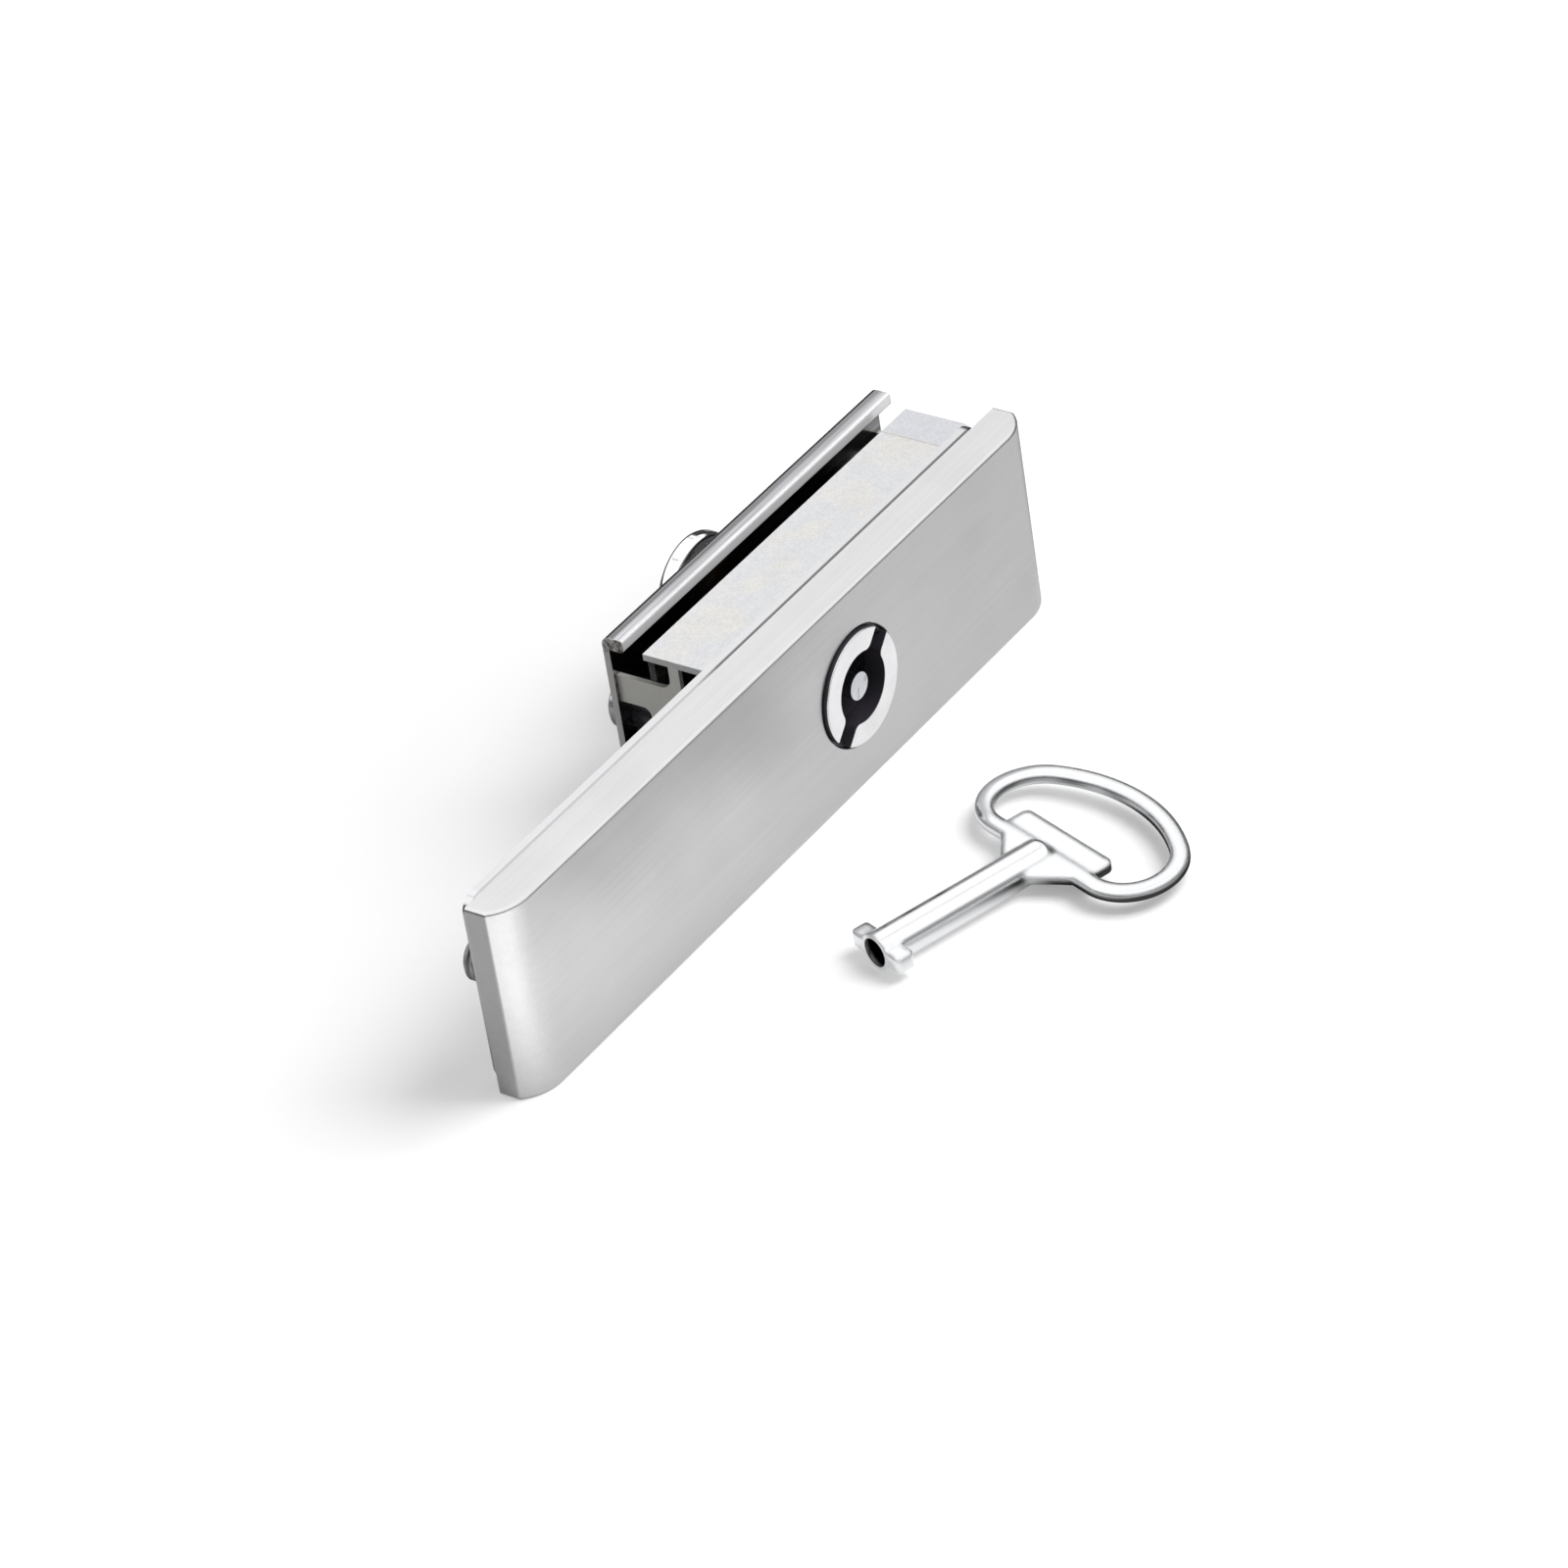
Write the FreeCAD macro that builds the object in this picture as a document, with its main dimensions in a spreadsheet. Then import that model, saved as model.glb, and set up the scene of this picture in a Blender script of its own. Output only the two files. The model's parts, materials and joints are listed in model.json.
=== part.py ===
import FreeCAD, Part
import math
import os
import Sketcher
from FreeCAD import Placement, Rotation, Vector

# Cabinet rod lock: a flat face plate with a double-bit key core, the lock case behind it
# and the clamping bracket behind the door. X runs along the plate, Y from its front face
# to the back, Z up. The origin is the key axis at the front face. Lengths are in mm.

DRIVING_SIZES = {
    # Face plate and the base plate behind it
    "plate_left": 94.5,
    "plate_right": 56.0,
    "plate_height": 36.0,
    "plate_depth": 7.4,
    "plate_wall": 1.6,
    "skirt_wall": 1.5,
    "end_run": 7.0,
    "end_radius": 8.6,
    "end_corner_round": 0.8,
    "plate_edge_round": 0.6,
    "core_hole_round": 0.3,
    "base_thickness": 2.2,
    "base_inset_left": 2.0,
    "base_inset_right": 4.5,
    "base_inset_side": 0.3,
    "base_corner": 3.0,
    "cover_screw_radius": 1.5,
    "cover_screw_pitch": 34.0,
    "cover_screw_left_x": 72.0,
    "cover_screw_right_x": 30.0,
    "cover_boss_radius": 3.2,
    "stud_end_distance": 9.7,
    "stud_radius": 4.0,
    "stud_neck_radius": 4.3,
    "stud_reach": 6.0,
    "stud_head_radius": 5.6,
    "stud_head_thickness": 1.0,
    # Lock case
    "housing_left": 24.8,
    "housing_right": 52.3,
    "housing_height": 32.0,
    "housing_depth": 13.3,
    "housing_sheet": 1.2,
    "housing_bend": 1.6,
    "cover_sheet": 1.2,
    "end_sheet": 0.9,
    "end_leg_front": 5.4,
    "end_leg_width": 2.0,
    "end_body_half": 10.3,
    "end_corner": 2.0,
    "rod_notch_half": 5.2,
    "rod_notch_gap": 0.3,
    "rod_notch_corner": 1.5,
    # Clamping bracket and the screws that draw it up
    "bracket_left": 25.6,
    "bracket_right": 52.8,
    "bracket_sheet": 1.2,
    "bracket_bend": 1.5,
    "bracket_depth": 4.1,
    "bracket_flange": 2.3,
    "bracket_front_round": 0.5,
    "clamp_gap": 3.2,
    "clamp_end_distance": 6.4,
    "pillar_radius": 4.0,
    "pillar_tail_radius": 3.0,
    "spacer_radius": 4.4,
    "clamp_screw_radius": 2.05,
    "clamp_screw_grip": 7.5,
    "clamp_head_radius": 4.5,
    "clamp_head_height": 3.0,
    "clamp_socket_half": 1.5,
    "clamp_washer_radius": 5.2,
    "clamp_washer_thickness": 1.0,
    # Key core
    "sleeve_radius": 10.2,
    "sleeve_bore_radius": 9.45,
    "sleeve_recess": 0.9,
    "sleeve_reach": 5.6,
    "sleeve_rear_wall": 1.6,
    "sleeve_collar_radius": 12.5,
    "sleeve_nut_half": 12.0,
    "sleeve_nut_thickness": 3.0,
    "face_proud": 0.75,
    "face_thickness": 4.85,
    "face_gap": 0.3,
    "face_open_depth": 3.2,
    "face_edge_round": 0.25,
    "face_spigot_wall": 1.1,
    "face_spigot_depth": 1.0,
    "recess_radius": 6.3,
    "recess_floor": 9.5,
    "slot_width": 3.8,
    "slot_shoulder": 1.4,
    "slot_end_wall": 1.0,
    "slot_rest_angle": 45.0,
    "tail_radius": 5.0,
    "seat_radius": 3.4,
    "seat_half_flat": 2.7,
    "tail_journal_radius": 2.5,
    "pin_radius": 2.4,
    "pin_root": 3.0,
    "pin_root_radius": 1.5,
    "o_ring_section": 0.45,
    "clip_thickness": 0.9,
    "clip_width": 1.9,
    "clip_groove_depth": 0.7,
    "clip_opening": 4.0,
    # Gears and output spindle
    "gear_module": 0.8,
    "gear_width": 4.0,
    "gear_backlash": 0.16,
    "journal_radius": 4.0,
    "collar_radius": 5.0,
    "collar_width": 0.6,
    "bush_wall": 1.5,
    "bush_flange": 1.5,
    "bush_flange_thickness": 1.0,
    "rear_flange_thickness": 1.8,
    "disc_gap": 5.5,
    "disc_radius": 10.0,
    "disc_thickness": 3.3,
    "disc_web": 1.8,
    "disc_rim": 1.7,
    "disc_round": 1.1,
    "disc_hub_radius": 4.4,
    "disc_seat_depth": 2.5,
    "disc_seat_radius": 3.0,
    "disc_seat_half_flat": 2.5,
    "rod_hole_radius": 1.9,
    "disc_screw_radius": 1.6,
    "disc_screw_head_radius": 3.5,
    "disc_screw_length": 8.0,
    # Key
    "key_tip_x": 43.3,
    "key_tip_y": 29.3,
    "key_angle": 18.1,
    "shank_radius": 3.2,
    "shank_length": 35.2,
    "key_bore_radius": 2.5,
    "key_bore_depth": 12.0,
    "bit_span_half": 6.0,
    "bit_thickness": 3.0,
    "bit_length": 3.4,
    "bit_corner": 0.8,
    "bit_edge_round": 0.4,
    "bow_overlap": 0.8,
    "bow_length": 19.6,
    "bow_half_width": 19.8,
    "bow_rim_width": 3.2,
    "bow_rim_thickness": 2.4,
    "bow_rim_round": 0.9,
    "bow_near_corner": 7.6,
    "bow_far_corner": 9.0,
    "web_past_shank": 5.0,
    "web_half_width": 10.8,
    "web_corner": 1.4,
    "web_thickness": 2.0,
    "web_edge_round": 0.4,
    "neck_overlap": 7.8,
    "neck_near_half": 2.4,
    "neck_far_half": 7.2,
    "neck_length": 4.2,
    "shank_edge_round": 2.0,
    # Clearances
    "running_gap": 0.07,
    "fit_gap": 0.05,
    "loose_gap": 0.2,
}

GEAR_TEETH = 16
PRESSURE_ANGLE = 20.0
LEFT, RIGHT = 1, -1
START, END, CENTRE = 1, 2, 3

doc = FreeCAD.newDocument("CabinetRodLock")
sheet = doc.addObject("Spreadsheet::Sheet", "Sizes")
for row, (alias, number) in enumerate(DRIVING_SIZES.items(), start=1):
    sheet.set("A%d" % row, alias)
    sheet.set("B%d" % row, str(number))
    sheet.setAlias("B%d" % row, alias)
doc.recompute()


class Size:
    """A length that knows its number and the sheet expression that gives it."""

    def __init__(self, number, text):
        self.number = number
        self.text = text

    def __add__(self, other):
        other = as_size(other)
        return Size(self.number + other.number, "(%s + %s)" % (self.text, other.text))

    def __sub__(self, other):
        other = as_size(other)
        return Size(self.number - other.number, "(%s - %s)" % (self.text, other.text))

    def __mul__(self, other):
        other = as_size(other)
        return Size(self.number * other.number, "(%s * %s)" % (self.text, other.text))

    def __truediv__(self, other):
        other = as_size(other)
        return Size(self.number / other.number, "(%s / %s)" % (self.text, other.text))

    def __neg__(self):
        return Size(-self.number, "(0 - %s)" % self.text)

    __radd__ = __add__
    __rmul__ = __mul__

    def root(self):
        return Size(math.sqrt(self.number), "sqrt(%s)" % self.text)

    def cos(self):
        return Size(math.cos(math.radians(self.number)), "cos(%s)" % self.text)

    def sin(self):
        return Size(math.sin(math.radians(self.number)), "sin(%s)" % self.text)


def as_size(value):
    if isinstance(value, Size):
        return value
    return Size(float(value), repr(float(value)))


class Sizes:
    """The sheet's cells by name."""

    def __getattr__(self, alias):
        return Size(float(sheet.get(alias)), "Sizes." + alias)


d = Sizes()
ZERO = as_size(0)

# Depths along Y from the front face, and places along X
base_front = d.plate_depth
base_rear = base_front + d.base_thickness
web_rear = base_rear + d.housing_sheet
housing_rear = base_rear + d.housing_depth
cover_front = housing_rear - d.cover_sheet
bracket_front = housing_rear + d.clamp_gap
bracket_rear = bracket_front + d.bracket_depth
bracket_wall = bracket_rear - d.bracket_sheet
half_height = d.plate_height / 2
housing_half = d.housing_height / 2
housing_inner_half = housing_half - d.housing_sheet

sleeve_rear = base_rear + d.sleeve_reach
sleeve_floor = sleeve_rear - d.sleeve_rear_wall
barrel_rear = sleeve_floor - d.fit_gap * 2
clip_front = sleeve_rear + d.fit_gap * 2
clip_rear = clip_front + d.clip_thickness + d.fit_gap * 2
tail_shoulder = clip_rear + d.clip_thickness / 2
gear_front = tail_shoulder + d.fit_gap * 2
gear_rear = gear_front + d.gear_width
barrel_radius = d.sleeve_bore_radius - d.running_gap
core_hole_radius = d.sleeve_radius + d.loose_gap
face_radius = core_hole_radius - d.face_gap

pitch_radius = d.gear_module * (GEAR_TEETH / 2)
spindle_x = pitch_radius * 2
clamp_left_x = d.clamp_end_distance - d.housing_left
clamp_right_x = d.housing_right - d.clamp_end_distance
stud_x = d.stud_end_distance - d.plate_left
disc_hub_front = bracket_rear + d.rear_flange_thickness + d.disc_gap
disc_web_front = disc_hub_front + d.disc_seat_depth + d.disc_web / 4
disc_rear = disc_web_front + d.disc_web
rod_hole_offset = (d.disc_hub_radius + d.disc_radius - d.disc_rim) / 2

# Places along the key from its tip
bow_near = d.shank_length - d.bow_overlap
web_far = d.shank_length + d.web_past_shank
neck_near = d.shank_length - d.neck_overlap
neck_far = neck_near + d.neck_length


def new_body(label):
    body = doc.addObject("PartDesign::Body", label)
    body.Label = label
    return body


def origin_part(body, role):
    return next(item for item in body.Origin.OriginFeatures if item.Role == role)


def bind(item, attribute, size):
    setattr(item, attribute, size.number)
    item.setExpression(attribute, size.text)


def place(item, x=ZERO, y=ZERO, z=ZERO, rotation=Rotation()):
    item.Placement = Placement(Vector(x.number, y.number, z.number), rotation)
    for axis, size in (("x", x), ("y", y), ("z", z)):
        item.setExpression("Placement.Base." + axis, size.text)


def new_sketch(body, role, offset=ZERO, turn=0.0):
    """A sketch on one of the body's planes, moved along its normal and turned about it."""
    sketch = body.newObject("Sketcher::SketchObject", body.Label + "_sketch")
    sketch.AttachmentSupport = [(origin_part(body, role), "")]
    sketch.MapMode = "FlatFace"
    sketch.AttachmentOffset = Placement(Vector(0, 0, offset.number), Rotation(Vector(0, 0, 1), turn))
    sketch.setExpression("AttachmentOffset.Base.z", offset.text)
    return sketch


def pin_point(sketch, geometry, end, u, v):
    for direction, size in (("DistanceX", u), ("DistanceY", v)):
        index = sketch.addConstraint(Sketcher.Constraint(direction, -1, 1, geometry, end, size.number))
        sketch.setExpression("Constraints[%d]" % index, size.text)


def draw_circle(sketch, u, v, radius):
    u, v = as_size(u), as_size(v)
    circle = Part.Circle(Vector(u.number, v.number, 0), Vector(0, 0, 1), radius.number)
    geometry = sketch.addGeometry(circle, False)
    pin_point(sketch, geometry, CENTRE, u, v)
    index = sketch.addConstraint(Sketcher.Constraint("Radius", geometry, radius.number))
    sketch.setExpression("Constraints[%d]" % index, radius.text)


def arc_between(start, end, radius, turn):
    """The short arc from start to end that turns LEFT or RIGHT."""
    chord = end - start
    middle = (start + end) / 2
    rise = math.sqrt(radius * radius - chord.Length * chord.Length / 4)
    side = Vector(-chord.y, chord.x, 0).normalize() * (rise * turn)
    centre = middle + side
    first, last = (start, end) if turn == LEFT else (end, start)
    first_angle = math.atan2(first.y - centre.y, first.x - centre.x)
    last_angle = math.atan2(last.y - centre.y, last.x - centre.x)
    if last_angle < first_angle:
        last_angle += 2 * math.pi
    return Part.ArcOfCircle(Part.Circle(centre, Vector(0, 0, 1), radius), first_angle, last_angle)


def draw_path(sketch, steps, closed=True):
    """Join the steps' end points: (u, v) by a line, (u, v, radius, turn) by an arc."""
    steps = [tuple(as_size(item) for item in step[:3]) + tuple(step[3:]) for step in steps]
    pieces = []
    for index, step in enumerate(steps):
        if index == 0 and not closed:
            continue
        before = steps[index - 1]
        start = Vector(before[0].number, before[1].number, 0)
        end = Vector(step[0].number, step[1].number, 0)
        if len(step) == 2:
            geometry = sketch.addGeometry(Part.LineSegment(start, end), False)
            ends = (START, END)
        else:
            geometry = sketch.addGeometry(arc_between(start, end, step[2].number, step[3]), False)
            ends = (START, END) if step[3] == LEFT else (END, START)
            fixed = sketch.addConstraint(Sketcher.Constraint("Radius", geometry, step[2].number))
            sketch.setExpression("Constraints[%d]" % fixed, step[2].text)
        pieces.append((geometry, ends))
        pin_point(sketch, geometry, ends[1], step[0], step[1])
    for index, (geometry, ends) in enumerate(pieces):
        if index == 0 and not closed:
            pin_point(sketch, geometry, ends[0], steps[0][0], steps[0][1])
            continue
        before, before_ends = pieces[index - 1]
        sketch.addConstraint(Sketcher.Constraint("Coincident", before, before_ends[1], geometry, ends[0]))


def rounded(corners):
    """Steps round corners whose sides run along the axes: (u, v) sharp, (u, v, radius) round."""
    corners = [tuple(as_size(item) for item in corner) for corner in corners]
    steps = []
    for index, corner in enumerate(corners):
        if len(corner) == 2:
            steps.append(corner)
            continue
        u, v, radius = corner
        before = corners[index - 1]
        after = corners[(index + 1) % len(corners)]
        into = (sign(u.number - before[0].number), sign(v.number - before[1].number))
        out = (sign(after[0].number - u.number), sign(after[1].number - v.number))
        turn = LEFT if into[0] * out[1] - into[1] * out[0] > 0 else RIGHT
        steps.append((u - radius * into[0], v - radius * into[1]))
        steps.append((u + radius * out[0], v + radius * out[1], radius, turn))
    return steps


def sign(number):
    if abs(number) < 1e-9:
        return 0
    return 1 if number > 0 else -1


def rectangle(left, right, bottom, top, corner=None):
    corners = [(left, bottom), (right, bottom), (right, top), (left, top)]
    if corner is None:
        return corners
    return rounded([(u, v, corner) for u, v in corners])


def pad(body, sketch, length, reverse=False, both_ways=False):
    feature = body.newObject("PartDesign::Pad", body.Label + "_pad")
    feature.Profile = sketch
    feature.Reversed = reverse
    feature.Midplane = both_ways
    bind(feature, "Length", length)
    doc.recompute()
    return feature


def pocket(body, sketch, length=None, reverse=False, both_ways=False):
    """Cut the sketch into the body, and make sure that it takes something away."""
    before = body.Shape.Volume
    feature = body.newObject("PartDesign::Pocket", body.Label + "_pocket")
    feature.Profile = sketch
    feature.Reversed = reverse
    feature.Midplane = both_ways
    if length is None:
        feature.Type = "ThroughAll"
    else:
        bind(feature, "Length", length)
    doc.recompute()
    if not body.Shape.Volume < before - 1e-6:
        raise RuntimeError("a pocket cuts nothing in " + body.Label)
    return feature


def soften(body, kind, size, wanted):
    """Fillet or chamfer the edges of the body that the test wanted picks."""
    tip = body.Tip
    names = ["Edge%d" % (i + 1) for i, edge in enumerate(tip.Shape.Edges) if wanted(edge)]
    if not names:
        raise RuntimeError("no edges to soften in " + body.Label)
    feature = body.newObject("PartDesign::" + kind, body.Label + "_" + kind.lower())
    feature.Base = (tip, names)
    bind(feature, "Radius" if kind == "Fillet" else "Size", size)
    doc.recompute()
    if feature.Shape.isNull():
        raise RuntimeError("an edge can't be softened in " + body.Label)


def turned(label, steps, x=ZERO):
    """A piece turned about an axis along Y, from its (radius, depth) outline."""
    body = new_body(label)
    sketch = new_sketch(body, "XY_Plane")
    draw_path(sketch, steps)
    feature = body.newObject("PartDesign::Revolution", label + "_revolution")
    feature.Profile = sketch
    feature.ReferenceAxis = (sketch, ["V_Axis"])
    feature.Angle = 360
    place(body, x=x)
    doc.recompute()
    return body


def ring(label, inner, outer, front, rear, x=ZERO):
    return turned(label, [(inner, front), (outer, front), (outer, rear), (inner, rear)], x)


def group(label, members):
    """Several like solids that make one sub-part."""
    compound = doc.addObject("Part::Compound", label)
    compound.Label = label
    for member in members:
        member.Label = label + "_member"
    compound.Links = members
    doc.recompute()
    return compound


def same(number, other):
    return abs(number - as_size(other).number) < 1e-3


def circular_edge(edge, radius, depth):
    """A full circle edge of this radius at this depth along Y."""
    curve = edge.Curve
    if not isinstance(curve, Part.Circle):
        return False
    return same(curve.Radius, radius) and same(curve.Center.y, depth)


def runs_along_y(edge):
    return same(edge.BoundBox.XLength, 0) and same(edge.BoundBox.ZLength, 0)


def across_flats(body, half_flat, reach, front, length):
    """Take two flats off a round seat along Y, which leaves a double-D."""
    for side in (1, -1):
        sketch = new_sketch(body, "XZ_Plane", -front)
        inner, outer = half_flat * side, reach * side
        draw_path(sketch, rectangle(-reach, reach, inner, outer))
        pocket(body, sketch, length)


def double_d_hole(body, radius, half_flat, front, length):
    """Cut a hole along Y that fits a double-D seat."""
    run = (radius * radius - half_flat * half_flat).root()
    sketch = new_sketch(body, "XZ_Plane", -front)
    draw_path(sketch, [
        (run, -half_flat),
        (run, half_flat, radius, LEFT),
        (-run, half_flat),
        (-run, -half_flat, radius, LEFT),
    ])
    pocket(body, sketch, length)


def end_drop(run, radius):
    return radius - (radius * radius - run * run).root()


def plate_outline(inset, front):
    """The plate seen from above, with its rounded ends, moved in by a wall."""
    left = inset - d.plate_left
    right = d.plate_right - inset
    run = d.end_run - inset
    radius = d.end_radius - front
    drop = front + end_drop(run, radius)
    return [
        (right - run, front),
        (right, drop, radius, LEFT),
        (right, d.plate_depth),
        (left, d.plate_depth),
        (left, drop),
        (left + run, front, radius, LEFT),
    ]


cover_screw_places = [
    -d.cover_screw_left_x,
    d.cover_screw_pitch - d.cover_screw_left_x,
    d.cover_screw_right_x,
]


def face_plate():
    """Pressed stainless cover with rounded ends, open at the back, with screw bosses."""
    body = new_body("face_plate")
    outside = new_sketch(body, "XY_Plane")
    draw_path(outside, plate_outline(ZERO, ZERO))
    pad(body, outside, d.plate_height, both_ways=True)
    soften(body, "Fillet", d.end_corner_round, is_end_corner)
    soften(body, "Fillet", d.plate_edge_round, is_plate_edge)
    inside = new_sketch(body, "XY_Plane")
    draw_path(inside, plate_outline(d.skirt_wall, d.plate_wall))
    pocket(body, inside, d.plate_height - d.skirt_wall * 2, both_ways=True)
    bosses = new_sketch(body, "XZ_Plane", -d.plate_depth)
    for x in cover_screw_places:
        draw_circle(bosses, x, ZERO, d.cover_boss_radius)
    pad(body, bosses, d.plate_depth - d.plate_wall)
    threads = new_sketch(body, "XZ_Plane", -d.plate_depth)
    for x in cover_screw_places:
        draw_circle(threads, x, ZERO, d.cover_screw_radius + d.fit_gap)
    pocket(body, threads, (d.plate_depth - d.plate_wall) * 0.8, reverse=True)
    core_hole = new_sketch(body, "XZ_Plane")
    draw_circle(core_hole, ZERO, ZERO, core_hole_radius)
    pocket(body, core_hole)
    soften(body, "Fillet", d.core_hole_round,
           lambda edge: circular_edge(edge, core_hole_radius, ZERO))
    return body


def is_end_corner(edge):
    """The upright edges where the rounded ends meet the flat end faces."""
    box = edge.BoundBox
    at_front = same(box.YMin, 0)
    at_back = same(box.YMax, d.plate_depth)
    return same(box.XLength, 0) and same(box.YLength, 0) and not at_front and not at_back


def is_plate_edge(edge):
    """The long edges round the front face, on the top and bottom sides."""
    box = edge.BoundBox
    behind = same(box.YMax, d.plate_depth)
    return same(box.ZLength, 0) and not behind


def base_plate():
    """Flat steel plate that closes the cover and carries the lock case."""
    body = new_body("base_plate")
    sketch = new_sketch(body, "XZ_Plane", -base_front)
    left = d.base_inset_left - d.plate_left
    right = d.plate_right - d.base_inset_right
    half = half_height - d.base_inset_side
    draw_path(sketch, rectangle(left, right, -half, half, d.base_corner))
    pad(body, sketch, d.base_thickness, reverse=True)
    holes = new_sketch(body, "XZ_Plane", -base_front)
    draw_circle(holes, ZERO, ZERO, d.sleeve_radius + d.loose_gap)
    draw_circle(holes, stud_x, ZERO, d.stud_neck_radius + d.fit_gap)
    for x in cover_screw_places:
        draw_circle(holes, x, ZERO, d.cover_screw_radius + d.fit_gap)
    for x in (clamp_left_x, clamp_right_x):
        draw_circle(holes, x, ZERO, d.pillar_tail_radius + d.fit_gap)
    pocket(body, holes)
    hole_radius = d.cover_screw_radius + d.fit_gap
    soften(body, "Chamfer", d.cover_screw_radius,
           lambda edge: circular_edge(edge, hole_radius, base_rear))
    return body


def cover_screws():
    """Countersunk screws that hold the cover on the base plate."""
    head = d.cover_screw_radius * 2
    members = []
    for x in cover_screw_places:
        members.append(turned("cover_screw", [
            (ZERO, d.plate_wall * 2),
            (d.cover_screw_radius, d.plate_wall * 2),
            (d.cover_screw_radius, base_rear - d.cover_screw_radius),
            (head, base_rear),
            (ZERO, base_rear),
        ], x))
    return group("cover_screws", members)


def fixing_stud():
    """Stud clinched in the base plate, by which the long end is drawn to the door."""
    tip = base_rear + d.stud_reach
    chamfer = d.stud_radius / 6
    return turned("fixing_stud", [
        (ZERO, base_front - d.stud_head_thickness),
        (d.stud_head_radius, base_front - d.stud_head_thickness),
        (d.stud_head_radius, base_front),
        (d.stud_neck_radius, base_front),
        (d.stud_neck_radius, base_rear),
        (d.stud_radius, base_rear),
        (d.stud_radius, tip - chamfer),
        (d.stud_radius - chamfer, tip),
        (ZERO, tip),
    ], stud_x)


def core_sleeve():
    """Fixed sleeve of the key core, with a collar between the cover and the base plate."""
    tail_hole = d.tail_radius + d.running_gap
    return turned("core_sleeve", [
        (d.sleeve_bore_radius, d.sleeve_recess),
        (d.sleeve_radius, d.sleeve_recess),
        (d.sleeve_radius, d.plate_wall),
        (d.sleeve_collar_radius, d.plate_wall),
        (d.sleeve_collar_radius, d.plate_depth),
        (d.sleeve_radius, d.plate_depth),
        (d.sleeve_radius, sleeve_rear),
        (tail_hole, sleeve_rear),
        (tail_hole, sleeve_floor),
        (d.sleeve_bore_radius, sleeve_floor),
    ])


def sleeve_nut():
    """Hexagon nut that draws the sleeve, base plate and case together."""
    body = new_body("sleeve_nut")
    sketch = new_sketch(body, "XZ_Plane", -web_rear)
    half = d.sleeve_nut_half
    side = half / math.sqrt(3)
    draw_path(sketch, [
        (half, -side), (half, side), (ZERO, side * 2),
        (-half, side), (-half, -side), (ZERO, -side * 2),
    ])
    draw_circle(sketch, ZERO, ZERO, d.sleeve_radius + d.fit_gap)
    pad(body, sketch, d.sleeve_nut_thickness, reverse=True)
    return body


def core_turn():
    return Rotation(Vector(0, 1, 0), -d.slot_rest_angle.number)


def core_face():
    """Core face: two bright crescents beside the bit slots, held by a ring behind."""
    front = -d.face_proud
    rear = front + d.face_thickness
    rim_rear = d.sleeve_recess - d.face_gap
    spigot = d.recess_radius + d.face_spigot_wall + d.fit_gap
    body = turned("core_face", [
        (d.recess_radius, front),
        (face_radius, front),
        (face_radius, rim_rear),
        (barrel_radius, rim_rear),
        (barrel_radius, rear),
        (spigot, rear),
        (spigot, rear - d.face_spigot_depth - d.fit_gap),
        (d.recess_radius, rear - d.face_spigot_depth - d.fit_gap),
    ])
    half = d.slot_width / 2
    open_slot = new_sketch(body, "XZ_Plane", -front)
    draw_path(open_slot, rectangle(-d.sleeve_radius, d.sleeve_radius, -half, half))
    pocket(body, open_slot, d.face_open_depth)
    bit_slot(body, front, d.face_thickness)
    soften(body, "Fillet", d.slot_shoulder, is_slot_shoulder)
    soften(body, "Fillet", d.face_edge_round,
           lambda edge: circular_edge(edge, face_radius, front))
    place(body, rotation=core_turn())
    return body


def bit_slot(body, front, length):
    """Cut the slot that the key's bits pass through, its ends round about the key axis."""
    reach = barrel_radius - d.slot_end_wall
    half = d.slot_width / 2
    run = (reach * reach - half * half).root()
    slot = new_sketch(body, "XZ_Plane", -front)
    draw_path(slot, [
        (run, -half),
        (run, half, reach, LEFT),
        (-run, half),
        (-run, -half, reach, LEFT),
    ])
    pocket(body, slot, length)


def is_slot_shoulder(edge):
    """Where a side of the slot meets the key recess."""
    box = edge.BoundBox
    return runs_along_y(edge) and same(math.hypot(box.XMax, box.ZMax), d.recess_radius)


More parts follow.
